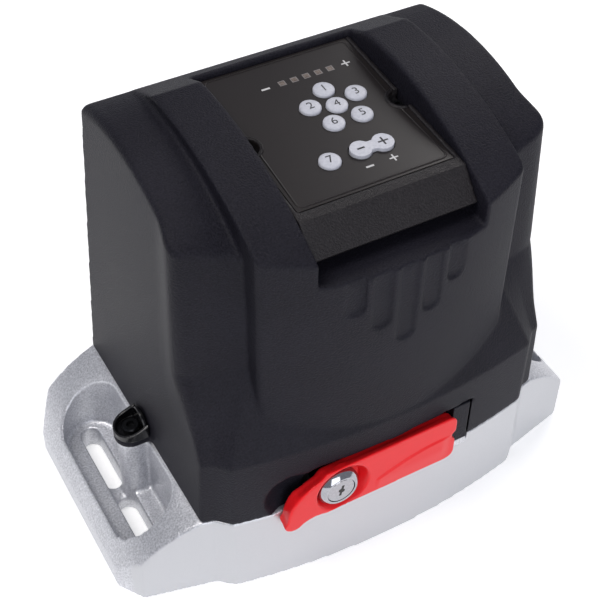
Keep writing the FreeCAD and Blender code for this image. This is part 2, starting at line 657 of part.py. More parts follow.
def keypad_housing():
    """Black carrier of the keypad: side rails, a front rail and the sloping finger lip."""
    floor = size("mouth_floor")
    tilt_tan = math.tan(math.radians(float(size("panel_tilt"))))
    back, front = 42.6, -55.3

    def top(y, drop):
        return float(size("panel_mid_z")) + (y - float(size("panel_mid_y"))) * tilt_tan - drop

    lip = [(-61.3, 220.9), (-61.3, 220.3), (-61.9, 220.0), (-72.6, 207.6), (-71.2, 205.2), (-59.0, 214.4),
           (-59.0, floor)]
    thick = float(size("panel_thick")) / math.cos(math.radians(float(size("panel_tilt"))))
    middle = body("housing_middle")
    seat = [(back, floor), (back, top(back, thick)), (front, top(front, thick)), (front, top(front, 0.0))]
    panel_way = 2 * (size("panel_half") + 0.3)
    pad(middle, outline(middle, "housing_section", "YZ_Plane", seat + lip), panel_way, midplane=True)
    rails = body("housing_rails")
    frame = [(back, floor), (back, top(back, -0.6)), (front, top(front, -0.6))]
    rail_way = 2 * (size("recess_half") - 0.4)
    pad(rails, outline(rails, "rail_section", "YZ_Plane", frame + lip), rail_way, midplane=True)
    bay = body("panel_bay")
    trim = [(back + 5.0, top(back + 5.0, thick)), (back + 5.0, 250.0), (front, 250.0),
            (front, top(front, thick))]
    pad(bay, outline(bay, "bay_section", "YZ_Plane", trim), panel_way, midplane=True)

    hollow = box("housing_hollow", (-37.0, -45.0, -40.0), (37.0, 43.0, ROOF_LOW))
    holes = [hollow] + [rod("way_" + name, size("key_radius") + KEY_PLAY, 20.0, (*on_panel(spot), -15.0))
             for name, spot in KEYS.items()]
    holes.append(rocker_form("way_rocker", ROCKER_PLAY, -15.0, 20.0))
    holes += [rod("lamp_way_%d" % i, 1.8, 20.0, (*on_panel(spot), -15.0)) for i, spot in enumerate(LAMPS)]
    for side in (-1, 1):
        mark = "left" if side < 0 else "right"
        holes.append(rod("notch_" + mark, NOTCH_RADIUS, 20.0, (side * NOTCH_X, NOTCH_Y + 5.0, -5.0)))
        holes.append(rod("notch_hole_" + mark, 1.7, 40.0, (side * 39.3, NOTCH_Y + 5.0, -32.0)))
    cutter = tilt(join("housing_cutters", holes))
    posts = [rod("post_%d" % i, 3.0, ROOF_LOW + 1.0 - BOARD_TOP, (x, y, BOARD_TOP)) for i, (x, y) in
             enumerate([(-33.0, -40.0), (33.0, -40.0), (-33.0, 38.0), (33.0, 38.0)])]
    shell = cut("housing_shell", join("housing_body", [middle, rails]), [bay, cutter])
    keep(join("housing", [shell, tilt(join("housing_posts", posts))]), "keypad_housing")


def keypad_panel():
    thick = size("panel_thick")
    plate = box("panel_plate", (-size("panel_half"), -50.0, -thick), (size("panel_half"), 47.4, 0.0))
    holes = [rod("hole_" + name, size("key_radius") + KEY_PLAY, 8.0, (*on_panel(spot), -4.0))
             for name, spot in KEYS.items()]
    holes.append(rocker_form("hole_rocker", ROCKER_PLAY, -4.0, 8.0))
    lamps = []
    for i, spot in enumerate(LAMPS):
        x, y = on_panel(spot)
        holes.append(box("lamp_hole_%d" % i, (x - 1.3, y - 1.3, -4.0), (x + 1.3, y + 1.3, 4.0)))
        lamps.append(box("lamp_%d" % i, (x - 1.25, y - 1.25, -thick), (x + 1.25, y + 1.25, 0.1)))
    for side in (-1, 1):
        holes.append(rod("panel_notch_%d" % side, NOTCH_RADIUS, 8.0, (side * NOTCH_X, NOTCH_Y + 5.0, -4.0)))
    keep(tilt(cut("panel", plate, holes)), "keypad_panel")
    keep(tilt(group("lamps", lamps)), "lamp_windows")
    heads = []
    for i, side in enumerate((-1, 1)):
        heads.append(screw("panel_screw_%d" % i, 1.6, 14.0, 2.7, 2.2, (side * 39.3, NOTCH_Y + 5.0, -5.0)))
    keep(tilt(group("panel_screws", heads)), "keypad_screws")


def keypad_keys():
    """Domed keys with a retaining flange under the carrier's roof."""
    radius, low, top = size("key_radius"), ROOF_LOW - 0.9, 1.7
    for name, spot in KEYS.items():
        x, y = on_panel(spot)
        stem = rod(name + "_stem", radius, top - 1.0 - low, (x, y, low))
        crown = cone(name + "_crown", radius, radius - 1.6, 1.0, (x, y, top - 1.0))
        flange = rod(name + "_flange", radius + 0.65, 0.6, (x, y, low))
        keep(tilt(join(name + "_body", [stem, crown, flange])), name)
    stem = rocker_form("rocker_stem", 0.0, low + 0.6, top - low - 0.6)
    keep(tilt(stem), "rocker_key")


def keypad_board():
    """Circuit board under the keys, with one switch below each."""
    plate = box("pcb_plate", (-36.0, -44.0, BOARD_TOP - BOARD_THICK), (36.0, 42.0, BOARD_TOP))
    switches = []
    for i, spot in enumerate(list(KEYS.values()) + list(ROCKER)):
        x, y = on_panel(spot)
        low, high = (x - 3.0, y - 3.0, BOARD_TOP), (x + 3.0, y + 3.0, BOARD_TOP + 0.5)
        switches.append(box("switch_%d" % i, low, high))
    keep(tilt(join("pcb", [plate] + switches)), "keypad_board")


keypad_housing()
keypad_panel()
keypad_keys()
keypad_board()


# ---------------------------------------------------------------- release lever and lock
def release_lever():
    """The red lever: a flat finger bar with a hinge knuckle behind its right end."""
    front, thick = size("lever_front"), size("lever_thick")
    lever = body("lever_bar")
    pad(lever, outline(lever, "lever_outline", "XZ_Plane", lever_points(), front - thick), thick)
    hinge_x, hinge_y = size("hinge_x"), size("hinge_y")
    knuckle = rod("knuckle", 8.0, 22.0, (hinge_x, -hinge_y, 54.0))
    web = box("knuckle_web", (hinge_x - 8.0, -front + thick - 1.0, 54.0), (hinge_x + 6.0, -hinge_y, 76.0))
    gap = 0.03
    bore = rod("knuckle_bore", size("hinge_shaft") + gap, 21.5, (hinge_x, -hinge_y, 53.0))
    lock_hole = rod("lock_hole", size("lock_radius") + gap, 20.0,
                    (-size("lock_x"), -front - 5.0, size("lock_z")), ALONG_Y)
    dish = rod("lock_dish", size("lock_radius") + 2.6, 4.0,
               (-size("lock_x") + 2.4, -front - 1.5, size("lock_z")), ALONG_Y)
    keep(cut("lever", join("lever_metal", [lever, knuckle, web]), [bore, lock_hole, dish]), "release_lever")

    # flush filler beside the lever: a cover-coloured block and, below it, a shoe of the casting's alloy
    split, bare = size("base_top"), rod("filler_bare", 8.0, 40.0, (hinge_x, -hinge_y, 45.0))
    for name, low, high in (("lever_hinge_block", split, size("lever_high") - 0.5),
                            ("lever_hinge_shoe", size("lever_low"), split)):
        ahead = box(name + "_front", (36.9, -84.6, low), (46.6, -81.0, high))
        behind = box(name + "_back", (hinge_x + 6.0, -81.0, low), (46.6, -hinge_y, high))
        keep(cut(name + "_form", join(name + "_metal", [ahead, behind]), [bare]), name)

    shaft_low = 12.0
    keep(rod("hinge_shaft", size("hinge_shaft"), 74.4 - shaft_low, (hinge_x, -hinge_y, shaft_low)),
         "release_shaft")
    throw = 2.4 / math.sqrt(2.0)
    disc = rod("cam_disc", 7.0, 10.0, (hinge_x + throw, -hinge_y - throw, 20.0))
    keep(cut("cam", disc, [rod("cam_bore", size("hinge_shaft") + gap, 12.0, (hinge_x, -hinge_y, 19.0))]),
         "release_cam")
    push_y = -float(hinge_y) + 7.0 - throw + 0.4
    head = rod("rod_head", 6.0, 3.0, (hinge_x, push_y, 25.0), ALONG_Y)
    stem = rod("rod_stem", 4.0, 57.0, (hinge_x, push_y, 25.0), ALONG_Y)
    keep(join("push_rod", [head, stem]), "release_rod")


def release_lock():
    """Cam lock through the lever: barrel, turning plug with a keyway, and the tail cam."""
    x, z, radius = -size("lock_x"), size("lock_z"), size("lock_radius")
    front = size("lever_front") + 1.0
    long = 17.0
    plug_radius = 6.0
    collar = rod("barrel_collar", radius + 2.0, 1.0, (x, -front, z), ALONG_Y)
    barrel = join("barrel_form", [rod("barrel_body", radius, long, (x, -front, z), ALONG_Y), collar])
    bore = rod("barrel_bore", plug_radius + 0.05, long + 2.0, (x, -front - 1.0, z), ALONG_Y)
    keep(cut("barrel", barrel, [bore]), "lock_barrel")
    plug = rod("plug_body", plug_radius, long + 3.2, (x, -front, z), ALONG_Y)
    keyway = box("keyway", (x - 0.7, -front - 1.0, z - 3.6), (x + 0.7, -front + 10.0, z + 3.6))
    ward = box("keyway_ward", (x - 0.2, -front - 1.0, z - 1.0), (x + 1.6, -front + 10.0, z + 0.6))
    keep(cut("plug", plug, [keyway, ward]), "lock_plug")
    tail_y = -float(front) + float(long) + 0.3
    arm = box("tail_arm", (x, tail_y, z - 4.0), (x + 16.0, tail_y + 2.4, z + 4.0))
    hub = rod("tail_hub", 7.5, 2.4, (x, tail_y, z), ALONG_Y)
    hole = rod("tail_hole", plug_radius + 0.03, 5.0, (x, tail_y - 1.0, z), ALONG_Y)
    keep(cut("tail", join("tail_body", [arm, hub]), [hole]), "lock_cam")


release_lever()
release_lock()


# ---------------------------------------------------------------- gears
def gear_body(name, teeth, pitch_radius, tip, root, thick, width, at):
    """A spur gear about Y: a disc, one padded tooth and a polar pattern of it."""
    owner = body(name + "_wheel")
    sketch = owner.newObject("Sketcher::SketchObject", name + "_disc")
    plane = [f for f in owner.Origin.OriginFeatures if f.Role == "XZ_Plane"][0]
    sketch.AttachmentSupport = [(plane, "")]
    sketch.MapMode = "FlatFace"
    sketch.addGeometry(Part.Circle(V(0, 0, 0), V(0, 0, 1), float(root)))
    sketch.addConstraint(Sketcher.Constraint("Coincident", 0, 3, -1, 1))
    sketch.addConstraint(Sketcher.Constraint("Radius", 0, float(root)))
    pad(owner, sketch, width, backwards=True)
    slope = (thick / 2 - 0.3 * thick) / (tip - pitch_radius)
    foot = root - 0.6
    half = [(foot, thick / 2 + slope * (pitch_radius - foot) * 0.55), (pitch_radius, thick / 2),
            (tip, thick * 0.3)]
    tooth = [(r, -w) for r, w in half] + [(r, w) for r, w in reversed(half)]
    flank = outline(owner, name + "_tooth", "XZ_Plane", tooth)
    one = pad(owner, flank, width, backwards=True)
    pattern = owner.newObject("PartDesign::PolarPattern", name + "_teeth")
    pattern.Originals = [one]
    axis = [f for f in owner.Origin.OriginFeatures if f.Role == "Y_Axis"][0]
    pattern.Axis = (axis, [""])
    pattern.Angle = 360.0
    pattern.Occurrences = teeth
    owner.Tip = pattern
    return place(owner, at)


WHEEL_FACE = 10.0
KEY_HALF = 3.0
BOLT_RADIUS = 4.0


def output_train():
    """Output shaft with the worm wheel inside and the rack pinion behind the housing."""
    y, z = size("gear_y"), size("gear_z")
    radius = size("shaft_radius")
    module = float(size("worm_module"))
    pitch = module * int(size("wheel_teeth")) / 2
    fit = 0.03
    blank = gear_body("worm_gear", int(size("wheel_teeth")), pitch, pitch + 2.0, pitch - 2.3, 2.6, WHEEL_FACE,
                      (0.0, y - WHEEL_FACE / 2, z))
    hub = rod("wheel_hub", 18.0, 14.0, (0.0, y - WHEEL_FACE / 2, z), ALONG_Y)
    bore = rod("wheel_bore", radius + fit, 30.0, (0.0, y - 15.0, z), ALONG_Y)
    keep(cut("wheel", join("wheel_metal", [blank, hub]), [bore]), "worm_wheel")

    front, width = size("pinion_front"), size("pinion_width")
    rack_module = float(size("pinion_module"))
    rack_pitch = rack_module * int(size("pinion_teeth")) / 2
    blank = gear_body("rack_gear", int(size("pinion_teeth")), rack_pitch, rack_pitch + 4.0,
                      rack_pitch - 5.0, 6.1, float(width), (0.0, front, z))
    bore = rod("pinion_bore", radius + fit, width + 2.0, (0.0, front - 1.0, z), ALONG_Y)
    slot = box("pinion_slot", (-KEY_HALF - fit, front - 1.0, z + 5.0),
               (KEY_HALF + fit, front + width + 1.0, z + 13.0))
    keep(cut("pinion_metal", blank, [bore, slot]), "drive_pinion")

    shaft_start = y - 18.0
    shaft_end = front + width - 0.4
    bar = rod("shaft_bar", radius, shaft_end - shaft_start, (0.0, shaft_start, z), ALONG_Y)
    way = box("shaft_keyway", (-KEY_HALF - fit, front + 2.0, z + 7.0),
              (KEY_HALF + fit, shaft_end + 5.0, z + 12.0))
    tap = rod("shaft_tap", BOLT_RADIUS + fit, 22.0, (0.0, shaft_end - 21.0, z), ALONG_Y)
    keep(cut("shaft", bar, [way, tap]), "output_shaft")
    key = box("feather_key", (-KEY_HALF, front + 2.2, z + 7.0 + fit),
              (KEY_HALF, front + width - 1.0, z + 12.6))
    keep(key, "pinion_key")
    washer_y = front + width
    keep(ring("end_washer", 17.0, BOLT_RADIUS + 0.2, 2.5, (0.0, washer_y, z), ALONG_Y), "pinion_washer")
    bolt = screw("end_bolt", BOLT_RADIUS, 18.0, 6.5, 5.0, (0.0, washer_y + 2.5, z), ALONG_Y)
    keep(bolt, "pinion_bolt")


def gearbox_cover():
    """Cover plate of the wheel chamber, with the front bearing in its inner boss."""
    y, z = size("gear_y") - 21.0, size("gear_z")
    half = 44.5
    plate = box("gear_plate", (-2.0 - half, y - 6.0, z - 42.0), (-2.0 + half, y, z + 42.0))
    outer_boss = rod("gear_plate_nose", 24.0, 4.0, (0.0, y - 9.0, z), ALONG_Y)
    boss = rod("gear_plate_boss", 26.0, 15.5, (0.0, y - 1.0, z), ALONG_Y)
    seat = rod("front_bearing_seat", 21.0, 13.0, (0.0, y + 2.0, z), ALONG_Y)
    holes = [rod("plate_hole_%d" % i, 2.3, 30.0, gear_cover_bolt(i, y - 15.0), ALONG_Y) for i in range(4)]
    keep(cut("gear_cover", join("gear_cover_metal", [plate, outer_boss, boss]), [seat] + holes),
         "gearbox_cover")
    paper = box("gasket_sheet", (-2.0 - half, y, z - 42.0), (-2.0 + half, y + 1.0, z + 42.0))
    hole = rod("gasket_hole", 39.5, 3.0, (0.0, y - 1.0, z), ALONG_Y)
    holes = [rod("gasket_screw_%d" % i, 2.3, 9.0, gear_cover_bolt(i, y - 4.0), ALONG_Y) for i in range(4)]
    keep(cut("gasket", paper, [hole] + holes), "gearbox_gasket")
    screws = [screw("gear_screw_%d" % i, 2.0, 11.0, 4.0, 3.5, gear_cover_bolt(i, y - 6.0), TOWARDS_FRONT)
              for i in range(4)]
    keep(group("gear_screws", screws), "gearbox_screws")
    bearings = [ring("front_bearing", 20.97, size("shaft_radius") + size("fit_gap"), 12.0,
                     (0.0, y + 2.2, z), ALONG_Y),
                ring("rear_bearing", 20.97, size("shaft_radius") + size("fit_gap"), 12.0, (0.0, 43.2, z),
                     ALONG_Y)]
    keep(group("shaft_bearings", bearings), "output_bearings")
    keep(ring("lip_seal", 20.97, size("shaft_radius") + size("fit_gap"), 7.0, (0.0, 62.5, z), ALONG_Y),
         "output_seal")


TOWARDS_FRONT = FreeCAD.Rotation(V(1, 0, 0), 90)

output_train()
gearbox_cover()


# ---------------------------------------------------------------- motor
def worm_shaft():
    """Rotor shaft with the one-start worm cut on its lower end."""
    x, y, z = worm_distance(), size("gear_y"), size("gear_z")
    lead = math.pi * float(size("worm_module"))
    turns = 6
    owner = body("worm_and_shaft")
    top = float(size("motor_top")) - 3.0
    core = 6.6
    profile = [(0.0, BEARING_LOW + 0.4), (6.0, BEARING_LOW + 0.4), (6.0, 50.0), (core, 50.6), (core, 106.0),
               (6.0, 106.6), (6.0, top), (0.0, top)]
    sketch = outline(owner, "shaft_profile", "XZ_Plane", profile)
    spin = owner.newObject("PartDesign::Revolution", "shaft_turned")
    spin.Profile = sketch
    spin.ReferenceAxis = (sketch, ["V_Axis"])
    spin.Angle = 360.0
    owner.Tip = spin
    start = float(z) - lead * turns / 2
    thread = [(core - 0.3, start - 1.9), (11.0, start - 0.5), (11.0, start + 0.5), (core - 0.3, start + 1.9)]
    section = outline(owner, "thread_section", "XZ_Plane", thread)
    helix = owner.newObject("PartDesign::AdditiveHelix", "worm_thread")
    helix.Profile = section
    helix.ReferenceAxis = (section, ["V_Axis"])
    helix.Mode = 0
    helix.Pitch = lead
    helix.Height = lead * turns
    helix.LeftHanded = False
    owner.Tip = helix
    place(owner, (x, y, 0.0))
    keep(owner, "worm_shaft")


def motor():
    x, y = worm_distance(), size("gear_y")
    radius, low, high = size("motor_radius"), size("stator_low"), size("stator_high")
    seat, top = size("tower_top"), size("motor_top")
    core = size("rotor_radius")
    wall = 7.0
    fit = 0.03

    def bolt_ways(name, start, long):
        return [rod("%s_bolt_way_%d" % (name, i), 2.1, long, tie_bolt(i, start)) for i in range(4)]

    bell = rod("lower_bell_body", radius, low - seat, (x, y, seat))
    room = rod("lower_bell_room", radius - wall, low - seat, (x, y, seat + 4.5))
    way = rod("lower_bell_way", 9.0, 20.0, (x, y, seat - 1.0))
    keep(cut("lower_bell", bell, [room, way] + bolt_ways("lower", seat - 1.0, 30.0)), "motor_lower_bell")
    bell = rod("upper_bell_body", radius, top - high, (x, y, high))
    room = rod("upper_bell_room", radius - wall, 11.5, (x, y, high - 0.5))
    way = rod("upper_bearing_seat", 16.0, 8.1, (x, y, top - 10.1))
    drop = rod("upper_bell_way", 13.0, 10.0, (x, y, high))
    hub = rod("upper_bell_hub", 20.0, 9.0, (x, y, top - 12.0))
    hollow = cut("upper_bell_hollow", bell, [room] + bolt_ways("upper", high - 1.0, 40.0))
    keep(cut("upper_bell", join("upper_bell_metal", [hollow, hub]), [way, drop]), "motor_upper_bell")

    lamination = ring("stator_ring", radius - 0.5, core + size("air_gap"), high - low, (x, y, low))
    keep(cut("stator", lamination, bolt_ways("stator", low - 1.0, 50.0)), "stator_core")
    coils = [ring("coil_low", 37.0, 29.0, 10.5, (x, y, low - 10.5)),
             ring("coil_high", 37.0, 29.0, 10.0, (x, y, high))]
    keep(group("coils", coils), "stator_windings")
    keep(ring("rotor_stack", core, 6.0 + fit, high - low, (x, y, low)), "rotor_core")
    bolts = [screw("tie_%d" % i, 1.95, top - seat + 8.0, 3.8, 3.5, tie_bolt(i, top)) for i in range(4)]
    keep(group("tie_bolts", bolts), "motor_tie_bolts")
    gap = size("fit_gap")
    races = [ring("bearing_%d" % i, 15.97, 6.0 + gap, long, (x, y, start))
             for i, (start, long) in enumerate(
                 [(BEARING_LOW, 10.0), (float(seat) - 17.0, 10.0), (float(top) - 10.1, 8.0)])]
    keep(group("rotor_races", races), "rotor_bearings")


worm_shaft()
motor()


# ---------------------------------------------------------------- electrics inside the cover
def electrics():
    tower_left = -47.0
    sheet_x = tower_left - 2.0
    board_x = sheet_x - 6.0
    thick = 1.6
    corners = [(-30.0, 72.0), (40.0, 72.0), (-30.0, 180.0), (40.0, 180.0)]
    plate = box("bracket_sheet", (sheet_x, -38.0, 40.0), (tower_left, 46.0, 188.0))
    light = [rod("bracket_hole_%d" % i, 9.0, 6.0, (sheet_x - 1.0, py, pz), ALONG_X)
             for i, (py, pz) in enumerate([(-12.0, 160.0), (22.0, 160.0)])]
    taps = [rod("bracket_tap_%d" % i, 1.7, 6.0, (sheet_x - 1.0, py, pz), ALONG_X)
            for i, (py, pz) in enumerate(corners)]
    keep(cut("bracket", plate, light + taps), "board_bracket")
    spacers = [ring("spacer_%d" % i, 3.5, 1.7, 6.0, (board_x, py, pz), ALONG_X)
               for i, (py, pz) in enumerate(corners)]
    keep(group("spacers", spacers), "board_spacers")
    pcb = box("main_pcb", (board_x - thick, -35.0, 66.0), (board_x, 45.0, 186.0))
    taps = [rod("pcb_tap_%d" % i, 1.7, 6.0, (board_x - 3.0, py, pz), ALONG_X)
            for i, (py, pz) in enumerate(corners)]
    keep(cut("control", pcb, taps), "control_board")
    screws = [screw("pcb_screw_%d" % i, 1.5, 9.0, 3.0, 2.0, (board_x - thick, py, pz), TOWARDS_LEFT)
              for i, (py, pz) in enumerate(corners)]
    keep(group("pcb_screws", screws), "board_screws")
    face = board_x - thick
    relays = [box("relay_%d" % i, (face - 15.0, -24.0 + 22.0 * i, 150.0),
                  (face, -5.0 + 22.0 * i, 166.0)) for i in range(3)]
    keep(group("relays", relays), "board_relays")
    strip = box("terminal_strip", (face - 11.0, -24.0, 84.0), (face, 34.0, 96.0))
    ways = [rod("terminal_way_%d" % i, 1.8, 10.0, (face - 5.0, -20.4 + 7.2 * i, 83.0)) for i in range(8)]
    keep(cut("terminals", strip, ways), "terminal_block")

    floor = size("tray_floor")
    core = box("core_stack", (-88.0, -57.0, floor), (-50.0, -21.0, floor + 32.0))
    bobbin = box("bobbin", (-80.0, -62.0 + 1.5, floor + 6.0), (-58.0, -17.0, floor + 26.0))
    keep(join("mains_transformer", [core, bobbin]), "transformer")
    can = rod("can", 16.0, 56.0, (-74.0, 42.0, floor))
    lid = rod("can_lid", 14.0, 4.0, (-74.0, 42.0, floor + 56.0))
    keep(join("capacitor", [can, lid]), "start_capacitor")
    band = ring("clip_band", 17.5, 16.05, 10.0, (-74.0, 42.0, floor + 14.0))
    foot = box("clip_foot", (-57.0, 38.0, floor), (-55.5, 46.0, floor + 24.0))
    toe = box("clip_toe", (-56.0, 38.0, floor), (-48.0, 46.0, floor + 1.5))
    keep(join("clip", [band, foot, toe]), "capacitor_clip")
    collar = rod("grommet_collar", 15.0, 3.0, (-70.0, 0.0, floor))
    neck = rod("grommet_neck", 11.95, floor - 1.0, (-70.0, 0.0, 1.0))
    way = rod("grommet_way", 9.0, 20.0, (-70.0, 0.0, 0.0))
    keep(cut("grommet", join("grommet_rubber", [collar, neck]), [way]), "cable_grommet")


TOWARDS_LEFT = FreeCAD.Rotation(V(0, 1, 0), -90)

electrics()

# ---------------------------------------------------------------- check and write
def finish():
    doc.recompute()
    for thing in doc.Objects:
        if "Invalid" in thing.State or "Error" in thing.State:
            raise RuntimeError("%s: %s" % (thing.Name, thing.State))
    for node in NODES:
        shape = node.Shape
        if shape.isNull() or not shape.isValid():
            raise RuntimeError(node.Label + " has no valid shape")
        print("%-22s solids %2d  volume %9.0f  z %.1f..%.1f" %
              (node.Label, len(shape.Solids), shape.Volume, shape.BoundBox.ZMin, shape.BoundBox.ZMax))
        shape.exportStep("parts/%s.step" % node.Label)


finish()
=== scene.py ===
# %% [markdown]
# # A sliding gate motor, dressed for the camera
# The machine stands on a cast aluminium base with a flange at each end. A moulded black cover hides the
# motor, and a red lever with a small cylinder lock releases the gearbox by hand. The solids and their
# moving bodies come from the frame. This lesson gives them soft moulded edges, real finishes and small
# details.

# %% Load the frame
import json
import math

import bmesh
import bpy
from mathutils import Matrix, Vector


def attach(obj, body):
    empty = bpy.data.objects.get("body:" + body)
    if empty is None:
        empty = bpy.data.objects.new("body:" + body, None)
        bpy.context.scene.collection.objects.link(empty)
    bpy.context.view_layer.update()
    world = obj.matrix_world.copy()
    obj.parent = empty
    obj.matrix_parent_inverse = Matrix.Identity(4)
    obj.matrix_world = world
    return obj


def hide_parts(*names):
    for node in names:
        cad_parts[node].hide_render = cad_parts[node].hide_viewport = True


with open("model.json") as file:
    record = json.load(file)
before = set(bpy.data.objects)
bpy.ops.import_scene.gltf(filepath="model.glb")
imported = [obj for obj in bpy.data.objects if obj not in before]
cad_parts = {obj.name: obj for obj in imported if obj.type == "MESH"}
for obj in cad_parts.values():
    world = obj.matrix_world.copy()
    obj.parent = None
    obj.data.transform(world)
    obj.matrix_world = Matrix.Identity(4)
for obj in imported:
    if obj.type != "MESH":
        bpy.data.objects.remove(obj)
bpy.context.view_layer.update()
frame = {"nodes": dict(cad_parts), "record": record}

MM = 0.001

# %% [markdown]
# ## Colours and node trees
# Finishes are written as the hex values a colour card gives. Blender works with linear light, so one
# function turns them over. A second small function adds a node, sets it and links it, for shaders and for
# geometry alike. Clicking the trees together by hand would be as good, but could not be read or repeated.

# %% Colour and node helpers
def linear(hex_value):
    """Turns an sRGB hex value into Blender's linear colour."""
    parts = [int(hex_value[i:i + 2], 16) / 255 for i in (1, 3, 5)]
    return [c / 12.92 if c <= 0.04045 else ((c + 0.055) / 1.055) ** 2.4 for c in parts] + [1.0]


def add_node(tree, kind, settings=None, **links):
    """Adds a node. Settings are its attributes; links give an input a value or another node's socket.

    An input is called by its name, or by its number where two inputs share a name: i6 is the seventh.
    """
    node = tree.nodes.new(kind)
    for name, value in (settings or {}).items():
        setattr(node, name, value)
    for name, value in links.items():
        key = int(name[1:]) if name[0] == "i" and name[1:].isdigit() else name.replace("_", " ")
        if isinstance(value, bpy.types.NodeSocket):
            tree.links.new(value, node.inputs[key])
        else:
            node.inputs[key].default_value = value
    return node


def new_object(name, data):
    """An object in the scene for a mesh, a curve, a lamp or a camera."""
    made = bpy.data.objects.new(name, data)
    bpy.context.collection.objects.link(made)
    return made


def start_material(name, colour, roughness, metallic=0.0, **extra):
    """A new material with a Principled shader, which later cells refine."""
    material = bpy.data.materials.new(name)
    material.use_nodes = True
    shader = material.node_tree.nodes["Principled BSDF"]
    shader.inputs["Base Color"].default_value = linear(colour)
    shader.inputs["Roughness"].default_value = roughness
    shader.inputs["Metallic"].default_value = metallic
    for socket, value in extra.items():
        shader.inputs[socket.replace("_", " ")].default_value = value
    coords = add_node(material.node_tree, "ShaderNodeTexCoord")
    return material, material.node_tree, shader, coords.outputs["Object"]


# %% [markdown]
# ## The camera
# A long lens from the front left, well above the machine, shows the keypad, the lever and the left flange
# at once. The camera is placed by its position and by the three angles that a tripod head has: pan, tilt
# and roll.

# %% Camera
def camera_axes(pan, tilt, roll):
    """Right, up and backward directions of a camera with these angles in degrees."""
    pan, tilt, roll = (math.radians(a) for a in (pan, tilt, roll))
    back = Vector((math.sin(pan) * math.cos(tilt), -math.cos(pan) * math.cos(tilt), math.sin(tilt)))
    right = (-back).cross(Vector((0, 0, 1))).normalized()
    up = right.cross(-back)
    turned_right = right * math.cos(roll) + up * math.sin(roll)
    turned_up = up * math.cos(roll) - right * math.sin(roll)
    return turned_right, turned_up, back


LENS, SENSOR = 78.63, 36.0  # millimetres
STAND = (-0.248748, -0.423012, 0.588911)  # metres
PAN, TILT, ROLL = -29.788, 44.787, 1.032  # degrees
camera_data = bpy.data.cameras.new("camera")
camera_data.lens = LENS
camera_data.sensor_width = SENSOR
camera = new_object("camera", camera_data)
camera.matrix_world = Matrix.Translation(STAND) @ Matrix(camera_axes(PAN, TILT, ROLL)).transposed().to_4x4()
camera_data.clip_start = 0.01
bpy.context.scene.camera = camera
print("camera at", [round(c, 3) for c in camera.location])

# %% [markdown]
# ## The floor
# A studio shot stands on a roll of white paper. Here it is one big flat sheet that keeps the soft shadow
# under the machine. Strong lamps would turn it white but burn out the alloy as well, so the paper gets a
# little light of its own instead, which only the camera and mirror-like surfaces see.

# %% Floor
FLOOR_HALF, FLOOR_GLOW = 3, 0.45  # metres, and light of its own
floor_mesh = bpy.data.meshes.new("floor")
floor_mesh.from_pydata([(x * FLOOR_HALF, y * FLOOR_HALF, 0) for x, y in ((-1, -1), (1, -1), (1, 1), (-1, 1))],
                       [], [(0, 1, 2, 3)])
floor = new_object("floor", floor_mesh)
paper, tree, shader, _ = start_material("studio_paper", "#f2f2f2", 0.9)
rays = add_node(tree, "ShaderNodeLightPath")
seen = add_node(tree, "ShaderNodeMath", {"operation": "MAXIMUM"}, i0=rays.outputs["Is Camera Ray"],
                i1=rays.outputs["Is Glossy Ray"])
shader.inputs["Emission Color"].default_value = (1, 1, 1, 1)
glow = add_node(tree, "ShaderNodeMath", {"operation": "MULTIPLY"}, i0=seen.outputs[0], i1=FLOOR_GLOW)
tree.links.new(glow.outputs[0], shader.inputs["Emission Strength"])
floor_mesh.materials.append(paper)
print("floor", 2 * FLOOR_HALF, "m wide")

# %% [markdown]
# ## The room
# The room around the machine fills the shadows with faint bluish light, as white walls do. One world could
# do both jobs, light and backdrop, but a backdrop that is white enough would flood the machine. A Light
# Path node keeps them apart: the camera sees plain white, everything else gets the faint light.

# %% World
world = bpy.data.worlds.new("studio")
bpy.context.scene.world = world
world.use_nodes = True
sky = world.node_tree
sky_light = sky.nodes["Background"]
sky_light.inputs["Color"].default_value = (0.88, 0.90, 1.0, 1)
sky_light.inputs["Strength"].default_value = 0.36
white = add_node(sky, "ShaderNodeBackground", Color=(1, 1, 1, 1), Strength=1.0)
rays = add_node(sky, "ShaderNodeLightPath")
choice = add_node(sky, "ShaderNodeMixShader", i0=rays.outputs["Is Camera Ray"], i1=sky_light.outputs[0],
                  i2=white.outputs[0])
sky.links.new(choice.outputs[0], sky.nodes["World Output"].inputs["Surface"])
print("room light", sky_light.inputs["Strength"].default_value)

# %% [markdown]
# ## Three lamps
# Area lamps stand in for softboxes. A small lamp gives hard shadows and a bright spot on the chrome, a big
# one wraps round the form, so the front lamp is the biggest. The slightly warm one from above and the cool
# one from the front part the tops from the walls on a machine that is black all over.

# %% Lamps
MIDDLE = Vector((0, 0, 0.1))


def soft_lamp(name, place, size, power, tint):
    """A square lamp that looks at the machine's middle; size in metres, power in watts."""
    data = bpy.data.lights.new(name, "AREA")
    data.color = tint
    data.size = size
    data.energy = power
    lamp = new_object(name, data)
    lamp.location = place
    lamp.rotation_euler = (MIDDLE - Vector(place)).to_track_quat("-Z", "Y").to_euler()


soft_lamp("top_left_lamp", (-0.55, 0.0, 1.3), 0.5, 6.5, (1.0, 0.97, 0.94))
soft_lamp("front_lamp", (-0.2, -1.4, 0.7), 1.0, 8.5, (0.94, 0.95, 1.0))
soft_lamp("back_right_lamp", (0.9, 0.6, 1.0), 0.5, 5.0, (1.0, 0.97, 0.95))
bpy.context.scene.view_settings.view_transform = "Standard"
print("lamps", len(bpy.data.lights))

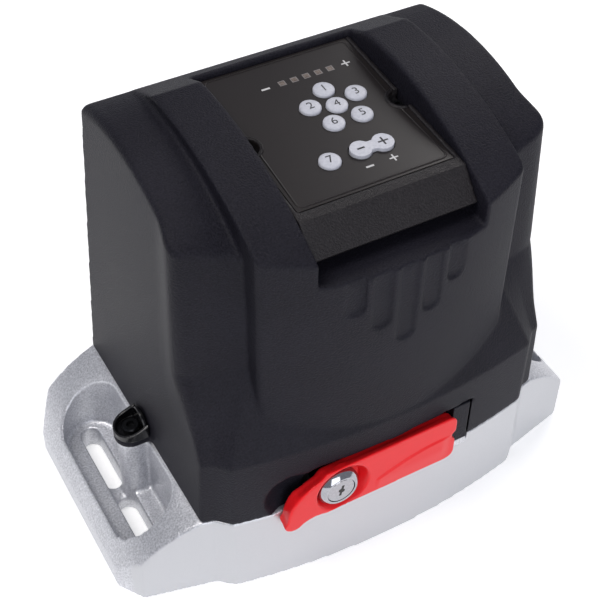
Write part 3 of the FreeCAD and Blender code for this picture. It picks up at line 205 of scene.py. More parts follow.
# %% [markdown]
# ## Finishes
# Every surface of the machine was made in some way, and that way shows. Die-cast alloy comes out of the
# blasting cabin with a fine sparkle, moulded ABS takes the spark-eroded grain of its mould, turned steel
# keeps rings. A picture could be wrapped round each piece, but it would need a flat layout and would
# stretch. A noise of the right size in millimetres has no seams: it moves the colour a little, roughens the
# gloss and lifts the surface. All finishes share that recipe, and a few then get a pattern of their own.

# %% The shared recipe
BROAD_PATCH = 45  # millimetres, slow drift of the colour over a large wall
BROAD_SHARE = 0.3


def grained(name, dark, light, grain, depth, roughness, metallic=0.0, spread=0.1, **extra):
    """A finish whose colour wanders between two hex values; grain and depth are in millimetres."""
    material, tree, shader, place = start_material(name, dark, roughness, metallic, **extra)
    fine = add_node(tree, "ShaderNodeTexNoise", Vector=place, Scale=1 / (grain * MM), Detail=2.0)
    broad = add_node(tree, "ShaderNodeTexNoise", Vector=place, Scale=1 / (BROAD_PATCH * MM), Detail=2.0)
    both = add_node(tree, "ShaderNodeMix", {"data_type": "FLOAT"}, i0=BROAD_SHARE, i2=fine.outputs[0],
                    i3=broad.outputs[0])
    tint = add_node(tree, "ShaderNodeMapRange", Value=both.outputs[0], From_Min=0.32, From_Max=0.68)
    paint = add_node(tree, "ShaderNodeMix", {"data_type": "RGBA"}, i0=tint.outputs[0], i6=linear(dark),
                     i7=linear(light))
    gloss = add_node(tree, "ShaderNodeMapRange", Value=both.outputs[0], To_Min=roughness - spread,
                     To_Max=roughness + spread)
    lift = add_node(tree, "ShaderNodeBump", Height=fine.outputs[0], Distance=depth * MM, Strength=1.0)
    tree.links.new(paint.outputs[2], shader.inputs["Base Color"])
    tree.links.new(gloss.outputs[0], shader.inputs["Roughness"])
    tree.links.new(lift.outputs[0], shader.inputs["Normal"])
    return material


def banded(material, axis, pitch, depth):
    """Adds fine straight bands across one axis, as turning, winding or stacked sheets leave."""
    tree = material.node_tree
    shader = tree.nodes["Principled BSDF"]
    place = tree.nodes["Texture Coordinate"].outputs["Object"]
    wave = add_node(tree, "ShaderNodeTexWave", {"wave_type": "BANDS", "bands_direction": axis}, Vector=place,
                    Scale=math.pi / (10 * pitch * MM), Distortion=0.4, Detail=1.0)
    before = shader.inputs["Normal"].links[0].from_socket
    lift = add_node(tree, "ShaderNodeBump", Height=wave.outputs[1], Distance=depth * MM, Normal=before)
    tree.links.new(lift.outputs[0], shader.inputs["Normal"])
    return material


# %% [markdown]
# ## Finishes that show
# The big surfaces come first: blasted alloy, grained black plastic, satin film, rubber keys, glossy red
# nylon and chrome. On each line stand the two colours, the size and depth of the grain in millimetres and
# the roughness, so that neighbours can be compared at a glance.

# %% Finishes of the outside
CAST = ("#b2b3b8", "#ecedf1", 0.95, 0.20, 0.40, 0.7, 0.14)
FINISH = {
    # die-cast aluminium, shot-blasted: pale, half bright, a dry sparkle from the blasting grit
    "cast_alloy": grained("blasted_cast_aluminium", *CAST),
    # ABS moulded against a spark-eroded steel wall: near black, dull, with a fine leathery grain
    "cover_plastic": grained("spark_grained_abs", "#131219", "#26252d", 0.85, 0.42, 0.50, 0.0, 0.12,
                             Specular_IOR_Level=0.13),
    # printed polycarbonate overlay: smooth satin, warm grey-black
    "panel_plastic": grained("satin_overlay_film", "#1f1b1b", "#242020", 0.5, 0.01, 0.34, 0.0, 0.05,
                             Specular_IOR_Level=0.3),
    # silicone rubber keys: matt, faintly blue
    "key_grey": grained("silicone_key_rubber", "#b9bbc4", "#cdced6", 1.4, 0.02, 0.48, 0.0, 0.06),
    # smoked light windows
    "lamp_lens": grained("smoked_lamp_window", "#5d524c", "#857a72", 1.1, 0.02, 0.25, 0.0, 0.05),
    # glossy moulded nylon, signal red
    "lever_red": grained("gloss_red_nylon", "#f81a21", "#fb2027", 6.0, 0.004, 0.30, 0.0, 0.03,
                         Specular_IOR_Level=0.35),
    # polished black ABS of the caps
    "cap_black": grained("polished_black_abs", "#08080a", "#101013", 2.0, 0.05, 0.16, 0.0, 0.05),
    # the keypad's carrier, grained like the cover but a shade deeper
    "housing_black": grained("grained_black_carrier", "#191719", "#2c292b", 0.85, 0.36, 0.46, 0.0, 0.12,
                             Specular_IOR_Level=0.25),
    # polished chrome plate of the lock
    "chrome": grained("polished_chrome_plate", "#a2a3a8", "#b4b5ba", 1.2, 0.004, 0.10, 1.0, 0.03),
}
print("outside finishes", len(FINISH))

# %% [markdown]
# ## Finishes inside
# Most of the inside stays hidden, yet the pinion shows from behind, and whoever opens the file later will
# look at the rest. Turned steel, stacked sheets and windings have a direction that no noise gives, so a
# wave of straight bands is laid over their grain.

# %% Finishes of the inside
FINISH.update({
    # ground and turned steel: fine rings along each shaft
    "steel": banded(grained("turned_steel", "#8c8d90", "#b2b3b6", 0.7, 0.01, 0.30, 1.0), "Z", 0.6, 0.01),
    # bright zinc on pressed steel
    "zinc_steel": grained("bright_zinc_plate", "#a8a9ac", "#c9cacd", 2.5, 0.01, 0.28, 1.0),
    # machined bronze of the worm wheel and bearing cages
    "bronze": grained("machined_bronze", "#9c6f35", "#c59a55", 0.8, 0.02, 0.32, 1.0),
    # varnished stack of electrical sheets, drawn at 1 mm pitch because 0.5 mm would not show
    "laminated_steel": banded(grained("varnished_laminations", "#3a3b3f", "#55565b", 1.0, 0.02, 0.45, 0.6),
                              "Z", 1.0, 0.08),
    # enamelled copper wire, wound round: 0.9 mm turns
    "copper": banded(grained("enamelled_copper_wire", "#8a3f1a", "#b8642e", 0.9, 0.06, 0.30, 0.5),
                     "Z", 0.9, 0.2),
    # solder mask over copper tracks
    "circuit_board": grained("green_solder_mask", "#0d3d1f", "#14572e", 3.0, 0.03, 0.30),
    # moulded case of the relays
    "relay_black": grained("relay_case_plastic", "#0f0f12", "#1a1a1e", 1.0, 0.03, 0.35),
    # nylon of the screw terminals
    "terminal_green": grained("green_terminal_nylon", "#13603a", "#1d7a4b", 1.0, 0.03, 0.42),
    # shrunk sleeve of the start capacitor
    "can_white": grained("white_capacitor_sleeve", "#c9c9c6", "#d9d9d6", 4.0, 0.02, 0.30),
    # pressed paper soaked with oil
    "gasket_paper": grained("oiled_gasket_paper", "#5a4326", "#75592f", 0.7, 0.05, 0.75),
    # seals and grommet
    "rubber_black": grained("black_nitrile_rubber", "#101012", "#1b1b1e", 0.9, 0.05, 0.62),
})
print("finishes with the inside", len(FINISH))

# %% [markdown]
# ## Inks and special finishes
# A few details need a finish that no solid asks for: screen-printed inks, blackened screws, and painted shade
# in the slot of the lock, a near-black sheet where a real cut would be dark from its depth. The casting is
# the odd one. Its outer walls were ground smooth on a belt while the rest kept its blasted grain. Two
# materials would meet in a ragged line along the triangles, so one material blends between both, and a value
# stored on the mesh says where.

# %% Inks and the two-tone casting
# black ink of the keys, white and grey ink of the panel: matt, with the slight unevenness of a screen print
INK_BLACK = grained("black_key_ink", "#16171a", "#24252a", 0.6, 0.005, 0.55)
INK_WHITE = grained("white_panel_ink", "#bdbcbc", "#d4d3d3", 0.6, 0.005, 0.55)
LAMP_GREY = grained("grey_lamp_print", "#6d6866", "#878280", 0.6, 0.005, 0.5)
# blackened steel of the screws that show, and painted shade for the key's slot: a near-black sheet for the
# darkness of a deep cut
SCREW_DARK = grained("black_oxide_steel", "#18191b", "#2a2b2e", 0.8, 0.02, 0.35, 0.8)
KEYWAY_SHADE = grained("painted_keyway_shade", "#050506", "#0c0c0e", 0.5, 0.02, 0.5)
# cast aluminium again, calm and bright where the belt has been
LINISHED = grained("casting_with_linished_walls", *CAST)


def calm_where(material, attribute, colour):
    """Lets a mesh attribute blend the grain away towards one even colour."""
    tree = material.node_tree
    shader = tree.nodes["Principled BSDF"]
    worked = add_node(tree, "ShaderNodeAttribute", {"attribute_name": attribute})
    before = shader.inputs["Base Color"].links[0].from_socket
    paint = add_node(tree, "ShaderNodeMix", {"data_type": "RGBA"}, i0=worked.outputs["Fac"], i6=before,
                     i7=linear(colour))
    flatter = add_node(tree, "ShaderNodeMapRange", Value=worked.outputs["Fac"], To_Min=1.0, To_Max=0.15)
    tree.links.new(paint.outputs[2], shader.inputs["Base Color"])
    tree.links.new(flatter.outputs[0], shader.inputs["Normal"].links[0].from_node.inputs["Strength"])


calm_where(LINISHED, "worked_wall", "#cbcccf")
print("materials now", len(bpy.data.materials))

# %% [markdown]
# ## The solids take their finishes
# Every solid of the frame has a material slot written in its record. Painting them one by one would be long
# and easy to get wrong, so a loop reads the slot and looks its finish up by name. The solids that are
# rebuilt further down hand their place over to the softer piece later.

# %% Paint the frame
subparts = frame["record"]["subparts"]
for entry in subparts:
    solid = frame["nodes"][entry["node"]]
    solid.data.materials.clear()
    solid.data.materials.append(FINISH[entry["material_slot"]])
print("solids painted", len(subparts))

# %% [markdown]
# ## Soft moulded edges
# No moulding and no casting has a knife edge. A mesh bevel would need clean edge loops, which a solid's
# triangles don't have, so the form is poured onto a fine even grid instead (a voxel remesh). Only the grid
# points near a crease are then relaxed. Flat walls and bores stay where they are, edges roll over by a
# millimetre or two, and a collapse pass takes out the triangles that the flat walls don't need.

# %% Pour onto a grid, then relax the creases
def as_mesh(thing):
    """The plain mesh that an object's modifiers, text or curve come out as."""
    return bpy.data.meshes.new_from_object(thing.evaluated_get(bpy.context.evaluated_depsgraph_get()))


def apply_step(piece, kind, **settings):
    """Runs one modifier on a piece and keeps its result as the plain mesh."""
    modifier = piece.modifiers.new("step", kind)
    for key, value in settings.items():
        setattr(modifier, key, value)
    result = as_mesh(piece)
    piece.modifiers.clear()
    piece.data = result


CREASE_FROM = math.radians(14)


def relax_creases(mesh, rounds, reach, crisp=None):
    """Smooths only the points near a crease, spread by a few rings; a crisp box is left alone."""
    form = bmesh.new()
    form.from_mesh(mesh)
    soft = {v for e in form.edges if len(e.link_faces) == 2 and e.calc_face_angle() > CREASE_FROM
            for v in e.verts}
    for _ in range(reach):
        soft |= {e.other_vert(v) for v in soft for e in v.link_edges}
    if crisp:
        low, high = (Vector(corner) * MM for corner in crisp)
        soft = {v for v in soft if not all(a < c < b for a, c, b in zip(low, v.co, high))}
    for _ in range(rounds):
        bmesh.ops.smooth_vert(form, verts=list(soft), factor=0.5, use_axis_x=True, use_axis_y=True,
                              use_axis_z=True)
    form.to_mesh(mesh)
    form.free()


def welded(node, name):
    """A copy of a solid's mesh with its loose triangles joined up."""
    mesh = frame["nodes"][node].data.copy()
    form = bmesh.new()
    form.from_mesh(mesh)
    bmesh.ops.remove_doubles(form, verts=form.verts, dist=0.001 * MM)
    form.to_mesh(mesh)
    form.free()
    return new_object(name, mesh)


def soften(piece, grid, rounds, reach, budget, crisp=None):
    """Rolls the edges of a piece; grid in millimetres, budget in triangles."""
    apply_step(piece, "REMESH", mode="VOXEL", voxel_size=grid * MM)
    relax_creases(piece.data, rounds, reach, crisp)
    triangles = 2 * len(piece.data.polygons)
    if triangles > budget:
        apply_step(piece, "DECIMATE", ratio=budget / triangles)
    print(piece.name, "triangles", min(triangles, budget))
    return piece


def softened(node, name, **settings):
    """A solid of the frame, softened into a new piece."""
    return soften(welded(node, name), **settings)


def hand_over(piece, body, slot_name, stands_for=(), material=None, crease=40.0):
    """Paints a finished piece, smooths its shading and lets it ride on its body."""
    piece.data.materials.clear()
    piece.data.materials.append(material or FINISH[slot_name])
    piece.data.shade_smooth()
    piece.data.set_sharp_from_angle(angle=math.radians(crease))
    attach(piece, body)
    if stands_for:
        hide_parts(*stands_for)


# %% [markdown]
# ## The cover
# The cover is one big injection moulding with broad shoulders. Its edges roll over widely, all but the five
# flutes, whose thin steps would vanish, so a box round them stays crisp. The two front corners of the
# shoulders are carried out a little by moving the points near them, which is quicker than another loft and
# stays smooth.

# %% Cover
FLUTES = ((-34, -100, 145), (34, -78, 198.5))
SHOULDER_CORNER, CORNER_PUSH = (93.5, -51.0), 4.2


def smooth_step(value, start, end):
    """Rises softly from 0 at start to 1 at end."""
    t = min(max((value - start) / (end - start), 0.0), 1.0)
    return t * t * (3 - 2 * t)


def fill_corners(mesh):
    """Carries the shoulders' front corners out to their full breadth, in millimetres."""
    for vertex in mesh.vertices:
        x, y, z = (c / MM for c in vertex.co)
        away = math.hypot(abs(x) - SHOULDER_CORNER[0], y - SHOULDER_CORNER[1])
        push = CORNER_PUSH * (1 - smooth_step(away, 5.0, 24.0)) * smooth_step(z, 100.0, 150.0)
        if push > 0:
            vertex.co.x += math.copysign(0.80 * push, x) * MM
            vertex.co.y -= 0.60 * push * MM


cover = softened("cover_shell", "moulded_cover", grid=0.95, rounds=4, reach=2, budget=190000, crisp=FLUTES)
fill_corners(cover.data)
hand_over(cover, "root", "cover_plastic", ["cover_shell"], crease=60.0)

# %% [markdown]
# ## The casting
# Blasting rounds every edge of a casting, so the base is softened too; the bores and seats inside,
# where bearings sit, stay crisp. Then each point stores how much of a belt-ground outer wall it is. It asks
# how steep the surface is and how far out it lies, and the two-tone finish reads the answer.

# %% Casting
INSIDE = ((-97, -64, 9), (97, 64, 130))
casting = softened("base_casting", "blasted_base", grid=1.0, rounds=4, reach=1, budget=195000, crisp=INSIDE)
wall = casting.data.attributes.new("worked_wall", "FLOAT", "POINT")
slopes = [abs(vertex.normal.z) for vertex in casting.data.vertices]
for spot, vertex, slope in zip(wall.data, casting.data.vertices, slopes):
    x, y = vertex.co.x / MM, vertex.co.y / MM
    outer = max(smooth_step(-y, 55.0, 58.0), smooth_step(x, 132.0, 135.0))
    spot.value = outer * (1 - smooth_step(slope, 0.3, 0.6))
print("worked wall points", sum(spot.value > 0.5 for spot in wall.data))
hand_over(casting, "root", "cast_alloy", ["base_casting"], LINISHED, crease=60.0)

# %% [markdown]
# ## Carrier and filler block
# The carrier frames the keypad and ends in a sloping lip for the fingers. The small block fills the slot
# beside the lever. Both get the same treatment as the cover on a finer grid, because a grid point must be
# smaller than the edge it rounds. The block's end and top are then drawn out until only a hairline parts it
# from the cover.

# %% Small mouldings
carrier = softened("keypad_housing", "keypad_carrier", grid=0.6, rounds=2, reach=1, budget=120000)
hand_over(carrier, "root", "housing_black", ["keypad_housing"], crease=60.0)
filler = softened("lever_hinge_block", "hinge_filler", grid=0.35, rounds=1, reach=0, budget=30000)
END_GAP, TOP_GAP = 0.45 * MM, 0.85 * MM
for vertex in filler.data.vertices:
    if vertex.co.x < 38 * MM and vertex.co.y < -80 * MM:
        vertex.co.x -= END_GAP
    if vertex.co.z > 79 * MM:
        vertex.co.z += TOP_GAP
hand_over(filler, "lever", "cover_plastic", ["lever_hinge_block"], crease=60.0)

# %% [markdown]
# ## Hooded caps
# Two glossy caps keep rain off the cover's screws: a bowl whose rim climbs towards the cover, and an arched
# back plate that closes it. Bowl and arch are drawn as two plain closed shapes that overlap, because the
# remesh fuses them by itself and rolls the rims, where the gloss catches the light.

# %% Closing a form
def closed_mesh(form, name, place=Matrix()):
    """Turns all faces outward, puts the form in its place and makes it a mesh."""
    bmesh.ops.recalc_face_normals(form, faces=form.faces)
    form.transform(place)
    mesh = bpy.data.meshes.new(name)
    form.to_mesh(mesh)
    form.free()
    return mesh


# %% One cap
CAP_X, CAP_SEAT, CAP_FLOOR = 107.0, 57.0, 1.2
BOWL_OUTER, BOWL_INNER, BOWL_BACK = 9.4, 7.7, -6.6
RIM, CLIMB, ARCH = 4.0, 2.0, 11.5
ARCH_PLATE = (100.4, 102.6)


def hood_wall(form, side, radius, low):
    """Points of one bowl wall, at its foot and at its climbing rim."""
    turns = [math.radians(-90 + 10 * i) for i in range(19)]
    plan = ([(BOWL_BACK, -radius)] + [(radius * math.cos(a), radius * math.sin(a)) for a in turns]
            + [(BOWL_BACK, radius)])
    rims = [CAP_SEAT + RIM + CLIMB * (1 - u / radius) ** 1.5 for u, _ in plan]
    return ([form.verts.new((side * (CAP_X + u), v, low)) for u, v in plan],
            [form.verts.new((side * (CAP_X + u), v, z)) for (u, v), z in zip(plan, rims)])


def hood_arch(form, side):
    """The arched plate at the cap's back."""
    quarter = [math.radians(a) for a in range(0, 91, 10)]
    arch = [(BOWL_OUTER * math.cos(a) * (1 - 0.12 * math.sin(2 * a)),
             CAP_SEAT + 1.0 + ARCH * math.sin(a) ** 0.8) for a in quarter]
    arch = ([(BOWL_OUTER, CAP_SEAT)] + arch + [(-v, z) for v, z in reversed(arch[:-1])]
            + [(-BOWL_OUTER, CAP_SEAT)])
    near, far = ([form.verts.new((side * x, v, z)) for v, z in arch] for x in ARCH_PLATE)
    form.faces.new(near)
    form.faces.new(far)
    for i in range(len(arch)):
        form.faces.new([near[i - 1], near[i], far[i], far[i - 1]])


def hood_form(side):
    """Bowl and pointed hood of one cap: the rim climbs from the front towards the cover."""
    form = bmesh.new()
    outer, outer_rim = hood_wall(form, side, BOWL_OUTER, CAP_SEAT)
    inner, inner_rim = hood_wall(form, side, BOWL_INNER, CAP_SEAT + CAP_FLOOR)
    for a, b in ((outer, outer_rim), (outer_rim, inner_rim), (inner_rim, inner)):
        for i in range(len(a) - 1):
            form.faces.new([a[i], a[i + 1], b[i + 1], b[i]])
    form.faces.new(outer)
    form.faces.new(inner)
    form.faces.new([outer[0], outer_rim[0], inner_rim[0], inner[0], inner[-1], inner_rim[-1], outer_rim[-1],
                    outer[-1]])
    hood_arch(form, side)
    return closed_mesh(form, "hood", Matrix.Scale(MM, 4))


# %% Both caps
pair = bmesh.new()
for side in (-1, 1):
    pair.from_mesh(hood_form(side))
cap_mesh = bpy.data.meshes.new("polished_caps")
pair.to_mesh(cap_mesh)
pair.free()
caps = soften(new_object("polished_caps", cap_mesh), grid=0.32, rounds=4, reach=1, budget=60000)
hand_over(caps, "root", "cap_black", ["screw_caps"], crease=60.0)

# %% [markdown]
# ## The release lever
# The lever is one glossy moulding that narrows to a finger tip. Around the lock its face is dished, so that
# the chrome barrel stands in a pool, and to the right a shallow raised field starts with a curved edge.
# Sculpting by hand could not be repeated, so the points are moved by rule: each asks how far it is from the
# lock, the curve or the back, and sinks, rises or draws in with a smooth step.

# %% Lever back and finger tip
LOCK = Vector((-32.5, 0, 62.5))
BACK_DROP, BACK_DRAW = 3.0, 0.8  # millimetres at the lever's back
TIP_DROP, TIP_DRAW = 2.6, 1.8  # millimetres along the finger's upper edge


def slim_back(mesh):
    """Draws the rim in towards the back and thins the finger's upper edge, in millimetres."""
    for vertex in mesh.vertices:
        x, y, z = (c / MM for c in vertex.co)
        back = smooth_step(y, -90.0, -84.0)
        upper = smooth_step(z, 68.0, 75.0)
        left = smooth_step(-x, 38.0, 48.0)
        finger = left * smooth_step(0.66 * (z - 56.0) - 0.75 * (x + 50.0), 5.0, 11.0)
        vertex.co.z -= (BACK_DROP * back * upper + TIP_DROP * finger) * MM
        vertex.co.x += (BACK_DRAW * back * left + TIP_DRAW * finger) * MM


# %% Lever face
LEVER_FACE, FACE_REACH = -89.5, 3.5
DISH_DEPTH, DISH_FLOOR, DISH_RIM = 4.6, 12.6, 15.6
FIELD_RISE, FIELD_LOW, FIELD_CURVE = 0.75, 57.2, 9.6


def shape_face(mesh):
    """Dishes the face round the lock and lifts the field to its right, in millimetres."""
    for vertex in mesh.vertices:
        x, y, z = (c / MM for c in vertex.co)
        if y > LEVER_FACE + FACE_REACH:
            continue
        from_lock = math.hypot(x - LOCK.x - 1.6, z - LOCK.z - 0.4)
        sink = DISH_DEPTH * (1 - smooth_step(from_lock, DISH_FLOOR, DISH_RIM))
        edge = FIELD_LOW + FIELD_CURVE * math.sin(math.radians(max(min((x + 12.0) * 2.3, 90.0), 0.0)))
        inside = smooth_step(x, -12.0, -9.5) * (1 - smooth_step(x, 27.0, 33.0))
        rise = FIELD_RISE * inside * smooth_step(edge - z, -0.6, 0.6) * smooth_step(z, 47.0, 60.0)
        vertex.co.y += (sink - rise) * MM


lever = softened("release_lever", "red_release_lever", grid=0.5, rounds=12, reach=3, budget=120000)
slim_back(lever.data)
shape_face(lever.data)
hand_over(lever, "lever", "lever_red", ["release_lever"], crease=60.0)

# %% [markdown]
# ## Turned pieces
# Lock barrel, plug, keys and screws are all round. A cylinder with bevels would give only chamfers of one
# kind. A lathe in code takes any profile, as radius and height, and a matrix that says where the axis
# stands and which way it points.

# %% A lathe
def lathe(name, profile, place=Matrix(), steps=64, closed=False):
    """A solid of revolution about the matrix's Z; the profile is (radius, height) in millimetres."""
    form = bmesh.new()
    rings = []
    for radius, height in profile:
        angles = [2 * math.pi * i / steps for i in range(steps)] if radius else [0.0]
        rings.append([form.verts.new((radius * MM * math.cos(a), radius * MM * math.sin(a), height * MM))
                      for a in angles])
    for a, b in zip(rings, rings[1:] + (rings[:1] if closed else [])):
        for i in range(steps):
            corners = [a[i % len(a)], a[(i + 1) % len(a)], b[(i + 1) % len(b)], b[i % len(b)]]
            corners = list(dict.fromkeys(corners))
            if len(corners) > 2:
                form.faces.new(corners)
    return new_object(name, closed_mesh(form, name, place))


def standing(x, y, z, facing=(0, 0, 1)):
    """Matrix for an axis through a point in millimetres that points along a direction."""
    turn = Vector(facing).to_track_quat("Z", "Y").to_matrix().to_4x4()
    return Matrix.Translation((x * MM, y * MM, z * MM)) @ turn


# %% [markdown]
# ## The lock
# The barrel is a plated brass cylinder with a small chamfer and a fine ring where the plug turns. The plug
# carries the keyway, a slot with a kink that keeps wrong keys out. The slot is a thin near-black inlay that
# lies just below the rim. Its colour is painted shade, standing for the darkness inside a true cut, and it
# reads better from a distance than a true cut.

# %% Barrel and plug
at_lock = standing(LOCK.x, -90.5, LOCK.z, (0, 1, 0))
BARREL = [(7.9, 0.2), (8.9, 0.0), (9.2, 0.15), (11.3, 2.4), (11.5, 2.9), (11.5, 5.6), (9.2, 5.8), (9.2, 17.0),
          (6.05, 17.0), (6.05, 3.0), (7.9, 3.0)]
PLUG = [(0, 0.3), (7.3, 0.3), (7.6, 0.5), (7.6, 2.8), (6.0, 2.9), (6.0, 20.2), (0, 20.2)]
barrel = lathe("chrome_lock_barrel", BARREL, at_lock, 96, True)
hand_over(barrel, "lever", "chrome", ["lock_barrel"], crease=25.0)
plug = lathe("chrome_lock_plug", PLUG, at_lock, 96)
hand_over(plug, "lock", "chrome", ["lock_plug"], crease=25.0)
print("lock face", 2 * BARREL[1][0], "mm wide")

# %% Keyway
KEYWAY = [(-0.5, 3.7), (0.9, 3.7), (0.9, 1.2), (2.0, 0.3), (2.0, -0.9), (0.9, -1.6), (0.9, -3.7),
          (-0.5, -3.7), (-0.5, -1.4), (-1.6, -0.5), (-1.6, 0.7), (-0.5, 1.6)]


def flat_shape(name, points, place, thick):
    """A flat plate with the given outline, thick in millimetres, front at the matrix's plane."""
    form = bmesh.new()
    face = form.faces.new([form.verts.new((x * MM, y * MM, 0)) for x, y in points])
    raised = bmesh.ops.extrude_face_region(form, geom=[face])
    bmesh.ops.translate(form, vec=(0, 0, thick * MM),
                        verts=[g for g in raised["geom"] if isinstance(g, bmesh.types.BMVert)])
    return new_object(name, closed_mesh(form, name, place))


# the keyway's near-black colour is painted shade: a thin sheet where a cut slot would be dark inside
in_plug = (Matrix.Translation((LOCK.x * MM, -90.23 * MM, LOCK.z * MM))
           @ Matrix.Rotation(math.radians(90), 4, "X") @ Matrix.Rotation(math.radians(-14), 4, "Z"))
keyway = flat_shape("keyway_inlay", KEYWAY, in_plug, -0.5)
hand_over(keyway, "lock", "chrome", material=KEYWAY_SHADE)

# %% [markdown]
# ## Keys
# The keypad lies on a plane that tilts 3.6 degrees. One matrix carries everything from the flat drawing of
# the keypad to its place, and a key presses along that same tilt. Each key is a low silicone dome with a
# collar below, so the lathe makes it from one profile. Its number is a thin print on the dome: real text,
# made a mesh before it is placed, so that it rides on its key like any other piece.

# %% Keypad plane, keys and numbers
PANEL_TILT, PANEL_SHIFT, PRINT_Z = 3.6, 5.0, 1.68  # degrees, millimetres, millimetres
PANEL = (Matrix.Translation((0, -PANEL_SHIFT * MM, 224.4 * MM))
         @ Matrix.Rotation(math.radians(PANEL_TILT), 4, "X"))
KEYS = {"key_1": (10.7, 11.5), "key_2": (-1.3, 2.9), "key_3": (23.3, 3.1), "key_4": (10.8, -0.8),
        "key_5": (18.2, -11.4), "key_6": (3.2, -11.3), "key_7": (-11.5, -33.1)}
DOME = [(0, -8.8), (5.95, -8.8), (5.95, -8.2), (5.3, -8.15), (5.3, 0.5), (5.15, 0.95), (4.75, 1.28),
        (4.0, 1.5), (2.6, 1.64), (0, 1.7)]


def on_panel(x, y, z=0.0):
    """Matrix for a spot of the keypad drawing, in millimetres."""
    return PANEL @ Matrix.Translation((x * MM, (y + PANEL_SHIFT) * MM, z * MM))


def print_text(name, text, height, place):
    """A number as a thin flat mesh."""
    curve = bpy.data.curves.new(name, "FONT")
    curve.body = text
    curve.size = height * 1.4 * MM
    curve.align_x, curve.align_y = "CENTER", "CENTER"
    curve.extrude = 0.03 * MM
    curve.resolution_u = 4
    writing = new_object(name, curve)
    mesh = as_mesh(writing)
    bpy.data.objects.remove(writing)
    mesh.transform(place)
    return new_object(name, mesh)


for number, (node, (x, y)) in enumerate(KEYS.items(), start=1):
    rides_on = "button_%d" % number
    hand_over(lathe("dome_" + node, DOME, on_panel(x, y), 48), rides_on, "key_grey", [node], crease=50.0)
    hand_over(print_text("number_" + node, str(number), 4.6, on_panel(x, y, PRINT_Z)), rides_on, "key_grey",
              material=INK_BLACK)
print("keys", len(KEYS))

# %% [markdown]
# ## The rocker
# The eighth key has two round ends joined by a waist, and tips to either side. Its outline is no turned
# shape, so its solid is softened on a very fine grid. The two signs on it ride along when it tips.

# %% Rocker and its signs
PLUS = [(-0.45, -2.6), (0.45, -2.6), (0.45, -0.45), (2.6, -0.45), (2.6, 0.45), (0.45, 0.45), (0.45, 2.6),
        (-0.45, 2.6), (-0.45, 0.45), (-2.6, 0.45), (-2.6, -0.45), (-0.45, -0.45)]
MINUS = [(-1.9, -0.5), (1.9, -0.5), (1.9, 0.5), (-1.9, 0.5)]
INK_THICK = 0.05
rocker = softened("rocker_key", "soft_rocker", grid=0.22, rounds=6, reach=2, budget=40000)
hand_over(rocker, "rocker", "key_grey", ["rocker_key"], crease=60.0)
for name, points, x in (("rocker_plus", PLUS, 16.2), ("rocker_minus", MINUS, 4.6)):
    hand_over(flat_shape(name, points, on_panel(x, -32.8, PRINT_Z), INK_THICK), "rocker", "key_grey",
              material=INK_BLACK)

# %% [markdown]
# ## The panel's print
# White signs stand beside the row of lamps and under the rocker. An image would hold them too, but thin
# plates of ink stay sharp from any distance and take the same two outlines as the rocker, only smaller.

# %% Signs on the panel
SIGNS = [("lamps_minus", MINUS, -13.3, 24.2, 1.15), ("lamps_plus", PLUS, 30.5, 25.0, 0.9),
         ("speed_minus", MINUS, 3.2, -43.4, 1.05), ("speed_plus", PLUS, 15.8, -43.1, 0.85)]
for name, points, x, y, scale in SIGNS:
    shape = [(px * scale, py * scale) for px, py in points]
    hand_over(flat_shape("print_" + name, shape, on_panel(x, y), INK_THICK), "root", "panel_plastic",
              material=INK_WHITE)
print("signs", len(SIGNS))

# %% [markdown]
# ## One shape, many places
# Lamps and screws come in sets of equal pieces. Copying objects in a loop would work, but a Geometry Nodes
# tree says the same in one picture: points in, one copy on each, real geometry out, finish on. Its inputs
# have names, so the same tree serves a square of ink and a bolt.

# %% A tree that repeats one small shape
def repeated(name, shape, spots, material):
    """Puts a copy of shape at every spot, by Geometry Nodes, and returns the plain mesh."""
    tree = bpy.data.node_groups.new(name + "_tree", "GeometryNodeTree")
    face = tree.interface
    face.new_socket("Spots", in_out="INPUT", socket_type="NodeSocketGeometry")
    shape_in = face.new_socket("Shape", in_out="INPUT", socket_type="NodeSocketObject")
    paint_in = face.new_socket("Finish", in_out="INPUT", socket_type="NodeSocketMaterial")
    face.new_socket("Geometry", in_out="OUTPUT", socket_type="NodeSocketGeometry")
    given = add_node(tree, "NodeGroupInput")
    info = add_node(tree, "GeometryNodeObjectInfo", i0=given.outputs["Shape"])
    placed = add_node(tree, "GeometryNodeInstanceOnPoints", Points=given.outputs["Spots"],
                      Instance=info.outputs["Geometry"])
    real = add_node(tree, "GeometryNodeRealizeInstances", Geometry=placed.outputs[0])
    painted = add_node(tree, "GeometryNodeSetMaterial", Geometry=real.outputs[0],
                       Material=given.outputs["Finish"])
    out = add_node(tree, "NodeGroupOutput")
    tree.links.new(painted.outputs[0], out.inputs[0])
    cloud = bpy.data.meshes.new(name)
    cloud.from_pydata([tuple(c * MM for c in spot) for spot in spots], [], [])
    piece = new_object(name, cloud)
    modifier = piece.modifiers.new("repeat", "NODES")
    modifier.node_group = tree
    modifier[shape_in.identifier] = shape
    modifier[paint_in.identifier] = material
    piece.data = as_mesh(piece)
    piece.modifiers.clear()
    bpy.data.objects.remove(shape)
    print(name, "copies", len(spots), "faces", len(piece.data.polygons))
    return piece


# %% [markdown]
# ## Surrounds of the lamps
# Each lamp sits in a thin printed square with an open middle. Four loops of four points make one square
# frame, and the tree sets five of them in a row at the lamps' pitch.

# %% Surrounds of the five lamps
CORNERS = ((-1, -1), (1, -1), (1, 1), (-1, 1))
LAMP_PITCH, LAMP_FIRST, LAMP_ROW = 6.5, -4.3, 24.7


